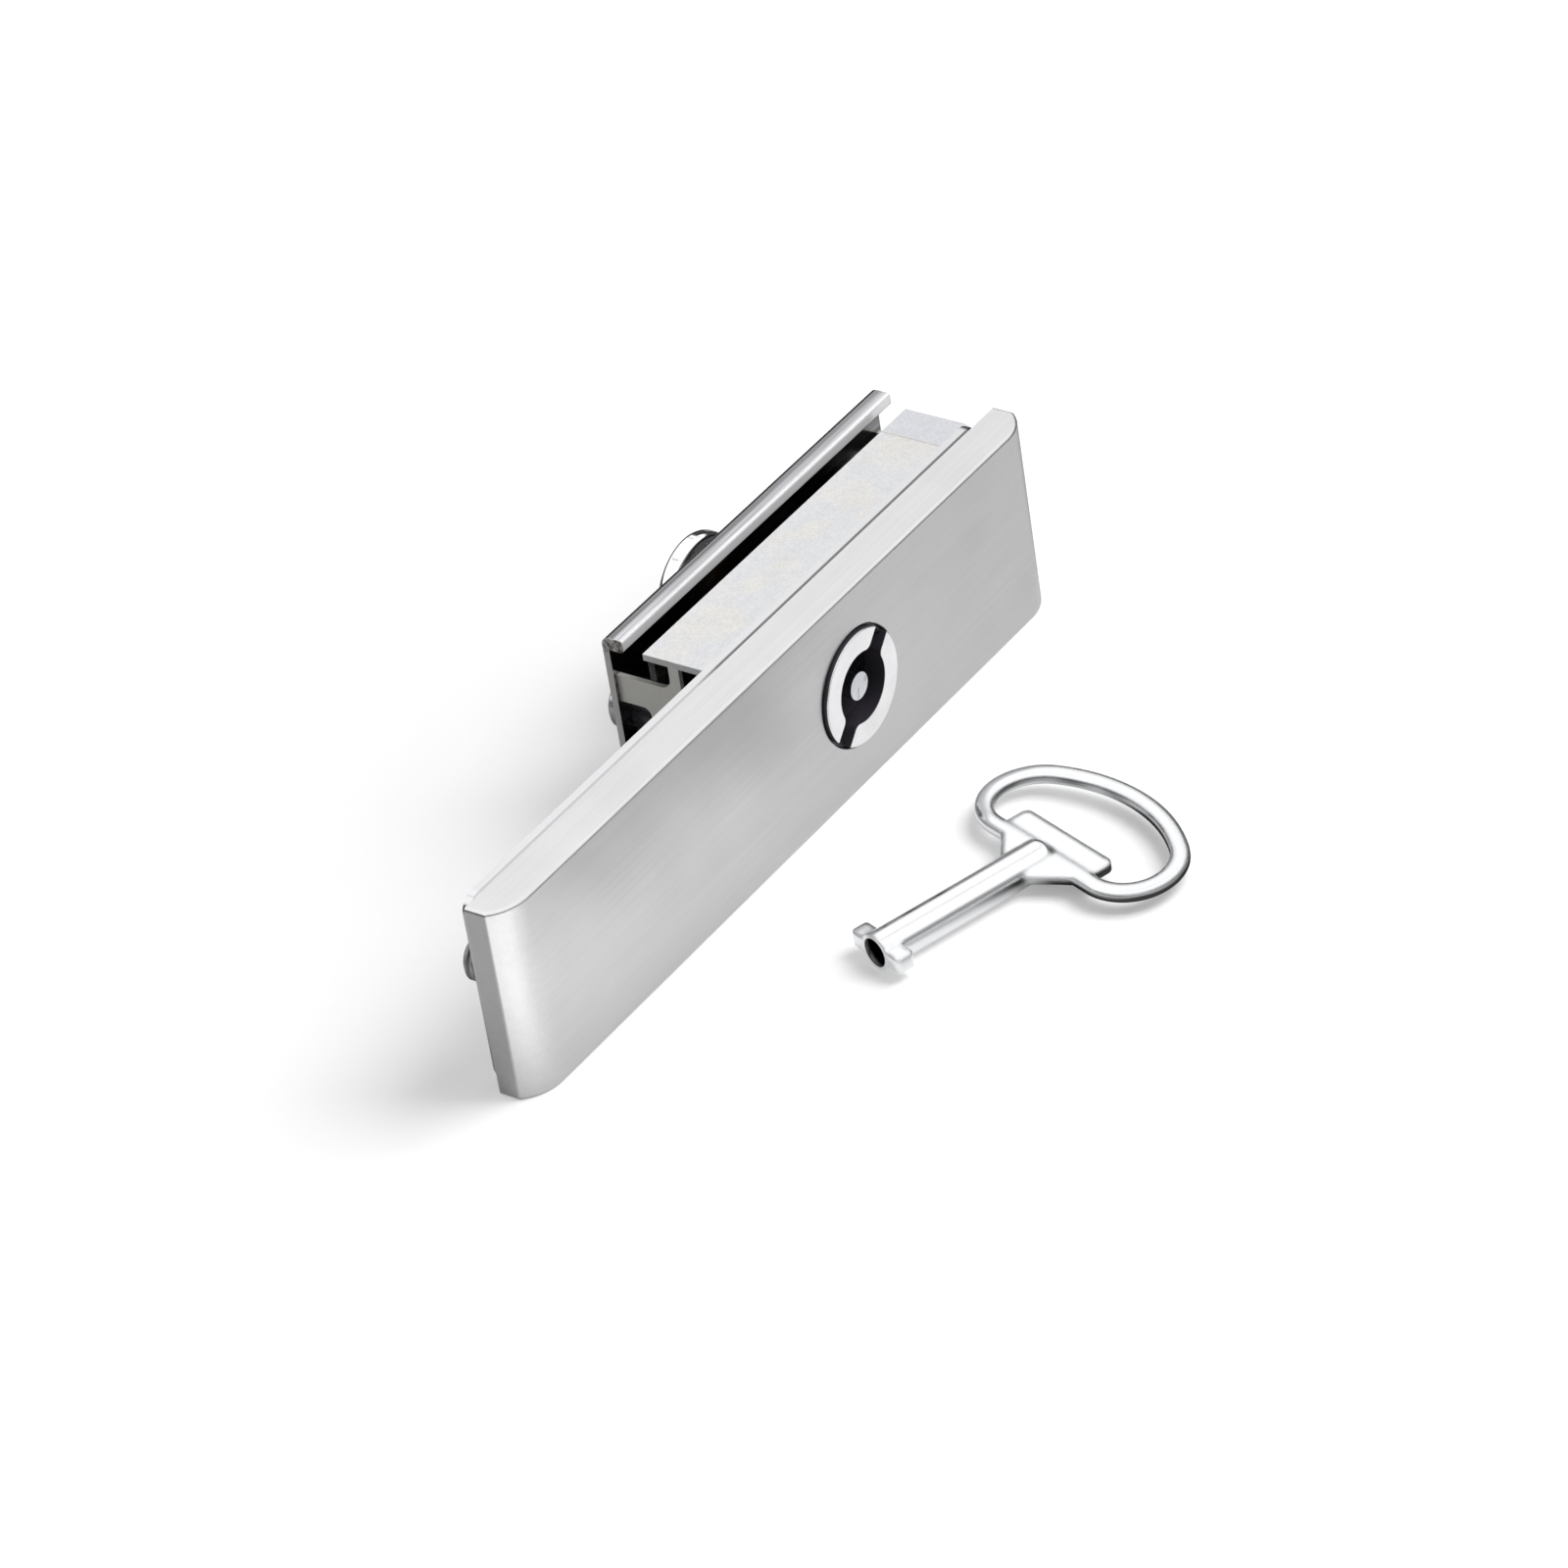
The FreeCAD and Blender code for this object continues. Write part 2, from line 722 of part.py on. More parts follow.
def core_barrel():
    """Black core barrel with the key recess in front and the gear seat on its tail."""
    front = d.face_thickness - d.face_proud
    spigot = d.recess_radius + d.face_spigot_wall
    groove_floor = barrel_radius - d.o_ring_section * 2
    groove_half = d.o_ring_section + d.fit_gap
    ring_middle = o_ring_depth()
    body = turned("core_barrel", [
        (ZERO, d.recess_floor),
        (d.recess_radius, d.recess_floor),
        (d.recess_radius, front - d.face_spigot_depth),
        (spigot, front - d.face_spigot_depth),
        (spigot, front),
        (barrel_radius, front),
        (barrel_radius, ring_middle - groove_half),
        (groove_floor, ring_middle - groove_half),
        (groove_floor, ring_middle + groove_half),
        (barrel_radius, ring_middle + groove_half),
        (barrel_radius, barrel_rear),
        (d.tail_radius, barrel_rear),
        (d.tail_radius, clip_front),
        (d.tail_radius - d.clip_groove_depth, clip_front),
        (d.tail_radius - d.clip_groove_depth, clip_rear),
        (d.tail_radius, clip_rear),
        (d.tail_radius, tail_shoulder),
        (d.seat_radius, tail_shoulder),
        (d.seat_radius, gear_rear + d.fit_gap),
        (d.tail_journal_radius, gear_rear + d.fit_gap),
        (d.tail_journal_radius, housing_rear),
        (ZERO, housing_rear),
    ])
    slot_front = front - d.face_spigot_depth
    bit_slot(body, slot_front, d.recess_floor - slot_front)
    pin_hole = new_sketch(body, "XZ_Plane", -d.recess_floor)
    draw_circle(pin_hole, ZERO, ZERO, d.pin_root_radius + d.fit_gap)
    pocket(body, pin_hole, d.pin_root + d.fit_gap)
    across_flats(body, d.seat_half_flat, d.seat_radius * 1.5, tail_shoulder,
                 gear_rear + d.fit_gap - tail_shoulder)
    place(body, rotation=core_turn())
    return body


def o_ring_depth():
    return (d.recess_floor + barrel_rear) / 2


def centre_pin():
    """Pin that the hollow key fits over."""
    root = d.recess_floor + d.pin_root
    return turned("centre_pin", [
        (ZERO, ZERO),
        (d.pin_radius, ZERO),
        (d.pin_radius, d.recess_floor),
        (d.pin_root_radius, d.recess_floor),
        (d.pin_root_radius, root),
        (ZERO, root),
    ])


def core_o_ring():
    body = new_body("core_o_ring")
    sketch = new_sketch(body, "XY_Plane")
    middle = barrel_radius - d.o_ring_section - d.fit_gap / 2
    draw_circle(sketch, middle, o_ring_depth(), d.o_ring_section - d.fit_gap / 2)
    feature = body.newObject("PartDesign::Revolution", "core_o_ring_revolution")
    feature.Profile = sketch
    feature.ReferenceAxis = (sketch, ["V_Axis"])
    feature.Angle = 360
    doc.recompute()
    return body


def snap_ring(label, shaft_radius, front, x=ZERO):
    """Spring clip in a shaft groove, open on one side."""
    inner = shaft_radius - d.clip_groove_depth + d.fit_gap
    outer = inner + d.clip_width
    body = ring(label, inner, outer, front, front + d.clip_thickness, x)
    opening = new_sketch(body, "XZ_Plane", -front)
    half = d.clip_opening / 2
    draw_path(opening, rectangle(-half, half, ZERO, outer * 1.2))
    pocket(body, opening, d.clip_thickness)
    return body


def tooth_corner(radius, flank_angle, flank_radius, base_radius):
    """Where a tooth flank, an arc about a point on the base circle, meets a radius."""
    squares = radius * radius - flank_radius * flank_radius + base_radius * base_radius
    along = squares / (base_radius * 2)
    beside = (radius * radius - along * along).root()
    u = along * flank_angle.cos() - beside * flank_angle.sin()
    v = along * flank_angle.sin() + beside * flank_angle.cos()
    return u, v


def spur_gear(label, x, phase, turn=Rotation()):
    """Spur gear along Y on a double-D seat, its first tooth turned by a phase angle."""
    tip_radius = pitch_radius + d.gear_module - d.fit_gap
    root_radius = pitch_radius - d.gear_module * 1.25
    base_radius = pitch_radius * math.cos(math.radians(PRESSURE_ANGLE))
    flank_radius = pitch_radius * math.sin(math.radians(PRESSURE_ANGLE))
    half_tooth = (d.gear_module * (math.pi / 2) - d.gear_backlash) / (pitch_radius * 2)
    flank_angle = half_tooth * math.degrees(1) - PRESSURE_ANGLE
    tip_u, tip_v = tooth_corner(tip_radius, flank_angle, flank_radius, base_radius)
    foot = root_radius - d.gear_module / 5
    foot_u, foot_v = tooth_corner(foot, flank_angle, flank_radius, base_radius)
    body = new_body(label)
    blank = new_sketch(body, "XZ_Plane", -gear_front)
    draw_circle(blank, ZERO, ZERO, root_radius)
    pad(body, blank, d.gear_width, reverse=True)
    outline = new_sketch(body, "XZ_Plane", -gear_front, phase)
    draw_path(outline, [
        (foot_u, -foot_v),
        (tip_u, -tip_v, flank_radius, LEFT),
        (tip_u, tip_v),
        (foot_u, foot_v, flank_radius, LEFT),
    ])
    tooth = pad(body, outline, d.gear_width, reverse=True)
    pattern = body.newObject("PartDesign::PolarPattern", label + "_teeth")
    pattern.Originals = [tooth]
    pattern.Axis = (origin_part(body, "Y_Axis"), [""])
    pattern.Angle = 360
    pattern.Occurrences = GEAR_TEETH
    body.Tip = pattern
    doc.recompute()
    double_d_hole(body, d.seat_radius + d.fit_gap, d.seat_half_flat + d.fit_gap,
                  gear_front, d.gear_width)
    place(body, x=x, rotation=turn)
    return body


def housing_channel():
    """Folded galvanised channel: its web lies on the base plate, its flanges run back."""
    body = new_body("housing_channel")
    sketch = new_sketch(body, "YZ_Plane", -d.housing_left)
    inner = d.housing_bend - d.housing_sheet
    draw_path(sketch, rounded([
        (base_rear, -housing_half, d.housing_bend),
        (housing_rear, -housing_half),
        (housing_rear, -housing_inner_half),
        (web_rear, -housing_inner_half, inner),
        (web_rear, housing_inner_half, inner),
        (housing_rear, housing_inner_half),
        (housing_rear, housing_half),
        (base_rear, housing_half, d.housing_bend),
    ]))
    pad(body, sketch, d.housing_left + d.housing_right)
    holes = new_sketch(body, "XZ_Plane", -base_rear)
    draw_circle(holes, ZERO, ZERO, d.sleeve_radius + d.loose_gap)
    for x in (clamp_left_x, clamp_right_x):
        draw_circle(holes, x, ZERO, d.pillar_tail_radius + d.fit_gap)
    pocket(body, holes)
    return body


def end_plate(label, start):
    """Case end sheet: legs to the flanges, and two tabs that reach back to the bracket."""
    leg_front = web_rear + d.end_leg_front
    leg_rear = leg_front + d.end_leg_width
    notch = housing_rear + d.rod_notch_gap
    upper = [
        (web_rear, d.end_body_half),
        (leg_front, d.end_body_half),
        (leg_front, housing_inner_half),
        (leg_rear, housing_inner_half),
        (leg_rear, d.end_body_half, d.end_corner),
        (bracket_wall, d.end_body_half),
        (bracket_wall, d.rod_notch_half),
        (notch, d.rod_notch_half, d.rod_notch_corner),
    ]
    lower = [(corner[0], -corner[1]) + tuple(corner[2:]) for corner in reversed(upper)]
    body = new_body(label)
    sketch = new_sketch(body, "YZ_Plane", start)
    draw_path(sketch, rounded(upper + lower))
    pad(body, sketch, d.end_sheet)
    return body


def gear_cover():
    """Black plate in the back of the case that carries the bearings of core and spindle."""
    body = new_body("gear_cover")
    sketch = new_sketch(body, "XZ_Plane", -cover_front)
    left = d.end_sheet + d.fit_gap * 2 - d.housing_left
    right = d.housing_right - d.end_sheet - d.fit_gap * 2
    half = housing_inner_half - d.fit_gap
    draw_path(sketch, rectangle(left, right, -half, half))
    draw_circle(sketch, ZERO, ZERO, tail_bush_radius() + d.fit_gap)
    draw_circle(sketch, spindle_x, ZERO, spindle_bush_radius() + d.fit_gap)
    for x in (clamp_left_x, clamp_right_x):
        draw_circle(sketch, x, ZERO, d.clamp_screw_radius + d.loose_gap)
    pad(body, sketch, d.cover_sheet, reverse=True)
    return body


def tail_bush_radius():
    return d.tail_journal_radius + d.running_gap + d.bush_wall


def spindle_bush_radius():
    return d.journal_radius + d.running_gap + d.bush_wall


def bush(label, bore, seat_front, seat_rear, flange_front, flange_rear, x=ZERO):
    """Flanged bearing bush, the flange before or behind its seat."""
    outer = bore + d.bush_wall
    flange = outer + d.bush_flange
    if flange_front.number >= seat_rear.number:
        return turned(label, [
            (bore, seat_front), (outer, seat_front), (outer, seat_rear),
            (flange, seat_rear), (flange, flange_rear), (bore, flange_rear),
        ], x)
    return turned(label, [
        (bore, flange_front), (flange, flange_front), (flange, seat_front),
        (outer, seat_front), (outer, seat_rear), (bore, seat_rear),
    ], x)


def bushes():
    spindle_bore = d.journal_radius + d.running_gap
    return [
        bush("core_tail_bush", d.tail_journal_radius + d.running_gap, cover_front, housing_rear,
             cover_front - d.collar_width, cover_front),
        bush("spindle_front_bush", spindle_bore, cover_front, housing_rear,
             housing_rear, housing_rear + d.bush_flange_thickness, spindle_x),
        bush("spindle_rear_bush", spindle_bore, bracket_wall, bracket_rear,
             bracket_rear, bracket_rear + d.rear_flange_thickness, spindle_x),
    ]


def pillars():
    """Threaded pillars riveted through the base plate and the case web."""
    thread = d.clamp_screw_radius + d.fit_gap
    members = []
    for x in (clamp_left_x, clamp_right_x):
        members.append(turned("pillar", [
            (ZERO, base_front),
            (d.pillar_tail_radius, base_front),
            (d.pillar_tail_radius, web_rear),
            (d.pillar_radius, web_rear),
            (d.pillar_radius, cover_front),
            (thread, cover_front),
            (thread, cover_front - d.clamp_screw_grip - d.fit_gap),
            (ZERO, cover_front - d.clamp_screw_grip - d.fit_gap),
        ], x))
    return group("pillars", members)


def spacers():
    """Tubes on the clamp screws between the case and the bracket."""
    bore = d.clamp_screw_radius + d.loose_gap
    places = (clamp_left_x, clamp_right_x)
    members = [ring("spacer", bore, d.spacer_radius, housing_rear, bracket_wall, x) for x in places]
    return group("spacers", members)


def rear_bracket():
    """Chromed channel that grips the door from behind with two thick flanges."""
    body = new_body("rear_bracket")
    sketch = new_sketch(body, "YZ_Plane", -d.bracket_left)
    inner_half = half_height - d.bracket_flange
    upper = [
        (bracket_wall, inner_half),
        (bracket_front, inner_half, d.bracket_front_round),
        (bracket_front, half_height, d.bracket_front_round),
        (bracket_rear, half_height, d.bracket_bend),
    ]
    lower = [(corner[0], -corner[1]) + tuple(corner[2:]) for corner in reversed(upper)]
    draw_path(sketch, rounded(upper + lower))
    pad(body, sketch, d.bracket_left + d.bracket_right)
    holes = new_sketch(body, "XZ_Plane", -bracket_wall)
    draw_circle(holes, spindle_x, ZERO, spindle_bush_radius() + d.fit_gap)
    for x in (clamp_left_x, clamp_right_x):
        draw_circle(holes, x, ZERO, d.clamp_screw_radius + d.loose_gap)
    pocket(body, holes)
    return body


def clamp_screw(x):
    """Socket screw from the back of the bracket into its pillar."""
    head_front = bracket_rear + d.clamp_washer_thickness
    head_rear = head_front + d.clamp_head_height
    chamfer = d.clamp_head_height / 5
    body = turned("clamp_screw", [
        (ZERO, cover_front - d.clamp_screw_grip),
        (d.clamp_screw_radius, cover_front - d.clamp_screw_grip),
        (d.clamp_screw_radius, head_front),
        (d.clamp_head_radius, head_front),
        (d.clamp_head_radius, head_rear - chamfer),
        (d.clamp_head_radius - chamfer, head_rear),
        (ZERO, head_rear),
    ], x)
    half = d.clamp_socket_half
    side = half / math.sqrt(3)
    socket = new_sketch(body, "XZ_Plane", -head_rear)
    draw_path(socket, [
        (half, -side), (half, side), (ZERO, side * 2),
        (-half, side), (-half, -side), (ZERO, -side * 2),
    ])
    pocket(body, socket, d.clamp_head_height / 2, reverse=True)
    return body


def bracket_screws():
    return group("bracket_screws", [clamp_screw(clamp_left_x), clamp_screw(clamp_right_x)])


def bracket_washers():
    bore = d.clamp_screw_radius + d.loose_gap
    front = bracket_rear
    rear = front + d.clamp_washer_thickness
    places = (clamp_left_x, clamp_right_x)
    members = [ring("washer", bore, d.clamp_washer_radius, front, rear, x) for x in places]
    return group("bracket_washers", members)


def output_spindle():
    """Spindle from the driven gear through the case and the bracket to the rod disc."""
    groove_front = gear_front - d.fit_gap - d.clip_thickness - d.fit_gap * 2
    groove_rear = gear_front - d.fit_gap
    groove_floor = d.seat_radius - d.clip_groove_depth
    collar_front = gear_rear + d.fit_gap
    collar_rear = collar_front + d.collar_width
    seat_rear = disc_hub_front + d.disc_seat_depth - d.fit_gap
    thread = d.disc_screw_radius + d.fit_gap
    thread_front = disc_rear - d.disc_screw_length - d.fit_gap
    body = turned("output_spindle", [
        (ZERO, groove_front - d.clip_thickness / 2),
        (d.seat_radius, groove_front - d.clip_thickness / 2),
        (d.seat_radius, groove_front),
        (groove_floor, groove_front),
        (groove_floor, groove_rear),
        (d.seat_radius, groove_rear),
        (d.seat_radius, collar_front),
        (d.collar_radius, collar_front),
        (d.collar_radius, collar_rear),
        (d.journal_radius, collar_rear),
        (d.journal_radius, disc_hub_front),
        (d.disc_seat_radius, disc_hub_front),
        (d.disc_seat_radius, seat_rear),
        (thread, seat_rear),
        (thread, thread_front),
        (ZERO, thread_front),
    ], spindle_x)
    across_flats(body, d.seat_half_flat, d.seat_radius * 1.5, groove_rear,
                 collar_front - groove_rear)
    across_flats(body, d.disc_seat_half_flat, d.disc_seat_radius * 1.5, disc_hub_front,
                 seat_rear - disc_hub_front)
    return body


def spindle_circlip():
    front = gear_front - d.fit_gap * 2 - d.clip_thickness
    return snap_ring("spindle_circlip", d.seat_radius, front, spindle_x)


def rod_disc():
    """Chromed disc on the spindle with a rounded rim and two holes for the rod ends."""
    rim_inner = d.disc_radius - d.disc_rim
    rim_front = disc_rear - d.disc_thickness
    rim_radius = d.disc_radius
    bend = d.disc_round
    rim_inner_bend = d.disc_rim - bend
    screw_hole = d.disc_screw_radius + d.fit_gap
    head = d.disc_screw_head_radius + d.fit_gap
    head_depth = d.disc_screw_head_radius - d.disc_screw_radius
    steps = [
        (screw_hole, disc_hub_front),
        (d.disc_hub_radius, disc_hub_front),
        (d.disc_hub_radius, disc_web_front),
        (rim_inner, disc_web_front),
        (rim_inner, rim_front + rim_inner_bend),
        (rim_radius - bend, rim_front, rim_inner_bend, LEFT),
        (rim_radius, rim_front + bend, bend, LEFT),
        (rim_radius, disc_rear - bend),
        (rim_radius - bend, disc_rear, bend, LEFT),
        (head, disc_rear),
        (screw_hole, disc_rear - head_depth),
    ]
    body = turned("rod_disc", steps, spindle_x)
    double_d_hole(body, d.disc_seat_radius + d.fit_gap, d.disc_seat_half_flat + d.fit_gap,
                  disc_hub_front, d.disc_seat_depth)
    holes = new_sketch(body, "XZ_Plane", -disc_web_front)
    for side in (1, -1):
        draw_circle(holes, rod_hole_offset * side, ZERO, d.rod_hole_radius)
    pocket(body, holes, d.disc_web)
    return body


def disc_screw():
    """Countersunk screw that holds the disc on the spindle."""
    head_depth = d.disc_screw_head_radius - d.disc_screw_radius
    front = disc_rear - d.disc_screw_length
    return turned("disc_screw", [
        (ZERO, front),
        (d.disc_screw_radius, front),
        (d.disc_screw_radius, disc_rear - head_depth),
        (d.disc_screw_head_radius, disc_rear),
        (ZERO, disc_rear),
    ], spindle_x)


def bow_path():
    """Middle line of the bow's rim, from the shank side round to its start again."""
    near, far = bow_near, bow_near + d.bow_length
    half = d.bow_half_width
    small, large = d.bow_near_corner, d.bow_far_corner
    corner_u = near + small
    reach = far - corner_u
    rise = half - large
    crown = (reach * reach + rise * rise - large * large) / ((reach - large) * 2)
    crown_u = far - crown
    scale = crown / (crown - large)
    join_u = crown_u + (corner_u - crown_u) * scale
    join_v = rise * scale
    return [
        (near, ZERO),
        (near, half - small),
        (corner_u, half, small, RIGHT),
        (join_u, join_v, large, RIGHT),
        (join_u, -join_v, crown, RIGHT),
        (corner_u, -half, large, RIGHT),
        (near, -(half - small), small, RIGHT),
        (near, ZERO),
    ]


def key():
    """Hollow double-bit key: shank and bits, a web with a flared neck, and a D bow."""
    body = new_body("key")
    shank = new_sketch(body, "YZ_Plane")
    draw_circle(shank, ZERO, ZERO, d.shank_radius)
    pad(body, shank, d.shank_length)
    soften(body, "Fillet", d.shank_edge_round,
           lambda edge: same(edge.BoundBox.XMin, d.shank_length))
    bits = new_sketch(body, "XY_Plane")
    span = d.bit_span_half
    draw_path(bits, rectangle(ZERO, d.bit_length, -span, span, d.bit_corner))
    pad(body, bits, d.bit_thickness, both_ways=True)
    soften(body, "Fillet", d.bit_edge_round, lambda edge: flat_side_edge(edge, d.bit_thickness))
    web = new_sketch(body, "XY_Plane")
    draw_path(web, rounded([
        (neck_near, -d.neck_near_half),
        (neck_far, -d.neck_far_half),
        (bow_near, -d.web_half_width),
        (web_far, -d.web_half_width, d.web_corner),
        (web_far, d.web_half_width, d.web_corner),
        (bow_near, d.web_half_width),
        (neck_far, d.neck_far_half),
        (neck_near, d.neck_near_half),
    ]))
    pad(body, web, d.web_thickness, both_ways=True)
    soften(body, "Fillet", d.web_edge_round, lambda edge: flat_side_edge(edge, d.web_thickness))
    path = new_sketch(body, "XY_Plane")
    draw_path(path, bow_path(), closed=False)
    section = new_sketch(body, "XZ_Plane")
    half_width = d.bow_rim_width / 2
    half_thickness = d.bow_rim_thickness / 2
    draw_path(section, rectangle(bow_near - half_width, bow_near + half_width,
                                 -half_thickness, half_thickness, d.bow_rim_round))
    doc.recompute()
    rim = body.newObject("PartDesign::AdditivePipe", "key_bow")
    rim.Profile = section
    rim.Spine = path
    doc.recompute()
    bore = new_sketch(body, "YZ_Plane")
    draw_circle(bore, ZERO, ZERO, d.key_bore_radius)
    pocket(body, bore, d.key_bore_depth, reverse=True)
    lay_on_floor(body)
    return body


def flat_side_edge(edge, thickness):
    """An outline edge of the key's bits or web, which lie level on both sides of its axis."""
    box = edge.BoundBox
    beside_shank = max(abs(box.YMin), abs(box.YMax)) > d.shank_radius.number
    return beside_shank and same(box.ZLength, 0) and same(abs(box.ZMax), thickness / 2)


def lay_on_floor(body):
    """Lay the key level on the surface that the lock stands on, its shank touching."""
    aim = Rotation(Vector(0, 0, 1), -d.key_angle.number)
    place(body, -d.key_tip_x, -d.key_tip_y, d.shank_radius - half_height, aim)


def build_parts():
    half_pitch = 180.0 / GEAR_TEETH
    return [
        face_plate(),
        base_plate(),
        cover_screws(),
        fixing_stud(),
        core_sleeve(),
        sleeve_nut(),
        core_face(),
        core_barrel(),
        centre_pin(),
        core_o_ring(),
        snap_ring("core_circlip", d.tail_radius, clip_front + d.fit_gap),
        spur_gear("drive_gear", ZERO, 0.0, core_turn()),
        spur_gear("driven_gear", spindle_x, half_pitch),
        housing_channel(),
        end_plate("end_plate_left", -d.housing_left),
        end_plate("end_plate_right", d.housing_right - d.end_sheet),
        gear_cover(),
        pillars(),
        spacers(),
        rear_bracket(),
        bracket_screws(),
        bracket_washers(),
        output_spindle(),
        spindle_circlip(),
        rod_disc(),
        disc_screw(),
        key(),
    ] + bushes()


def check_and_write(parts):
    """Stop if anything failed, then write one STEP file for each sub-part."""
    doc.recompute()
    for item in doc.Objects:
        if "Invalid" in item.State or "Error" in item.State:
            raise RuntimeError("%s could not be computed" % item.Label)
    os.makedirs("parts", exist_ok=True)
    for part in parts:
        shape = part.Shape
        if shape.isNull() or not shape.isValid():
            raise RuntimeError("%s has no valid shape" % part.Label)
        shape.exportStep("parts/%s.step" % part.Label)
        print("%-20s %9.2f mm3 %d solids" % (part.Label, shape.Volume, len(shape.Solids)))


check_and_write(build_parts())
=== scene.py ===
import json
import math

import bpy
from bpy.props import FloatProperty, FloatVectorProperty, PointerProperty
from mathutils import Matrix, Vector


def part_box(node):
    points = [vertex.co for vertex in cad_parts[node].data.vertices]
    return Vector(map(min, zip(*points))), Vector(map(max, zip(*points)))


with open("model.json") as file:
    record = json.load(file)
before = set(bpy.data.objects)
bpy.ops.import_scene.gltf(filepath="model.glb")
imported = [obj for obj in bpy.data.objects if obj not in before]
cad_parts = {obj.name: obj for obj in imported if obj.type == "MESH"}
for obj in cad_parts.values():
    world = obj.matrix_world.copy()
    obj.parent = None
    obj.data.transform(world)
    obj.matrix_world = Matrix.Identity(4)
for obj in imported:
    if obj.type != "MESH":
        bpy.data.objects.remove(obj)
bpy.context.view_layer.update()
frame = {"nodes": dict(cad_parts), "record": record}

# A cabinet rod lock with its loose key: finishes and a plain studio. All shapes are the
# CAD's own. X runs along the face plate, Y from its front face to the back, Z up. Lengths
# are in metres.

bl_info = {
    "name": "Cabinet rod lock",
    "version": (1, 0, 0),
    "blender": (4, 5, 0),
    "location": "3D View > Sidebar > Rod lock",
    "description": "Finishes and studio for a cabinet rod lock with its key",
    "category": "Object",
}

NODES = frame["nodes"]
MM = 0.001

# Places on the lock
SPINDLE_X = 12.8 * MM
# How far back from the base plate's front the painted shade next to the face plate reaches
SEAM_SHADE_DEPTH = 0.85 * MM
CASE_BAND_WIDTH = 7.3 * MM
THREAD_INSET = 0.3 * MM
KEY_EDGE_RADIUS = 1.7 * MM
KEY_BOW_START = 33.0 * MM
BRACKET_FLANGE = 3.4 * MM

# The camera, as solved from the plate's edges in the photograph
CAMERA_PLACE = (-0.75604, -0.60148, 0.65784)
CAMERA_FORWARD = (0.63390, 0.52007, -0.57245)
CAMERA_UP = (0.53976, 0.23263, 0.80904)
CAMERA_LENS = 166.6
CAMERA_SENSOR = 36.0

# Noise drawn out along X, in changes per metre along each axis
BRUSH_FINE = (40, 5200, 5200)
BRUSH_COARSE = (12, 900, 900)
SCRATCH_LINES = (90, 2600, 1700)
ROLLED_FINE = (60, 2600, 2600)
ROLLED_WIDE = (8, 700, 700)
SPECKLE = 2600.0

# The floor, the lamp and the room that the metals mirror
FLOOR_SIZE = 6.0
FLOOR_HEIGHT = -18 * MM
LAMP_SIZE = 0.45
LAMP_PLACE = (0.25, -0.32, 0.57)
LAMP_TARGET = (0.0, 0.0, 0.0)
ROOM_BRIGHTNESS = 1.55
SKIRTING_DARKNESS = 0.96
SLIT_DARKNESS = 0.55
SLIT_DIRECTION = (0.387, 0.317, 0.866)
SLIT_EDGES = ((0.84, 0.86), (0.89, 0.87))
SKIRTING_TOP = (0.42, 0.33)
SKIRTING_FRONT = (-0.75, -0.2, 0.75, 1.0)
FLOOR_ROUGHNESS = 0.9
FAR_FLOOR_DARKNESS = 0.92
KEY_SIDE_DARKNESS = 0.9
OUTER_GLOW = 0.22

# Where the floor changes: the places of a slope's two ends, and then their values unless
# they are zero and one
FAR_FLOOR = (0.14, 0.24)
GLOW_REACH = (0.08, 0.19)
BEHIND_PLATE = (0.0, 0.012)
BEHIND_LEFT = (-0.09, -0.06, 0.05, 0.55)
BEFORE_PLATE = (0.005, -0.02)
GLOW_LEFTWARD = (0.07, -0.12, 0.03, 0.75)
GLOW_PAST_END = (-0.085, -0.10, 0.0, 0.4)
BOW_LEFT = (-0.026, -0.018, 0.0, 0.5)
SHANK_LEFT = (-0.075, -0.060, 0.0, 0.5)
KEY_RIGHT = (0.045, 0.03)
KEY_REAR = (-0.038, -0.045)
KEY_FRONT = (-0.072, -0.066)


# Colours and studio settings

def colour_property(name, description, default):
    return FloatVectorProperty(name=name, description=description, subtype="COLOR", size=3,
                               default=default)


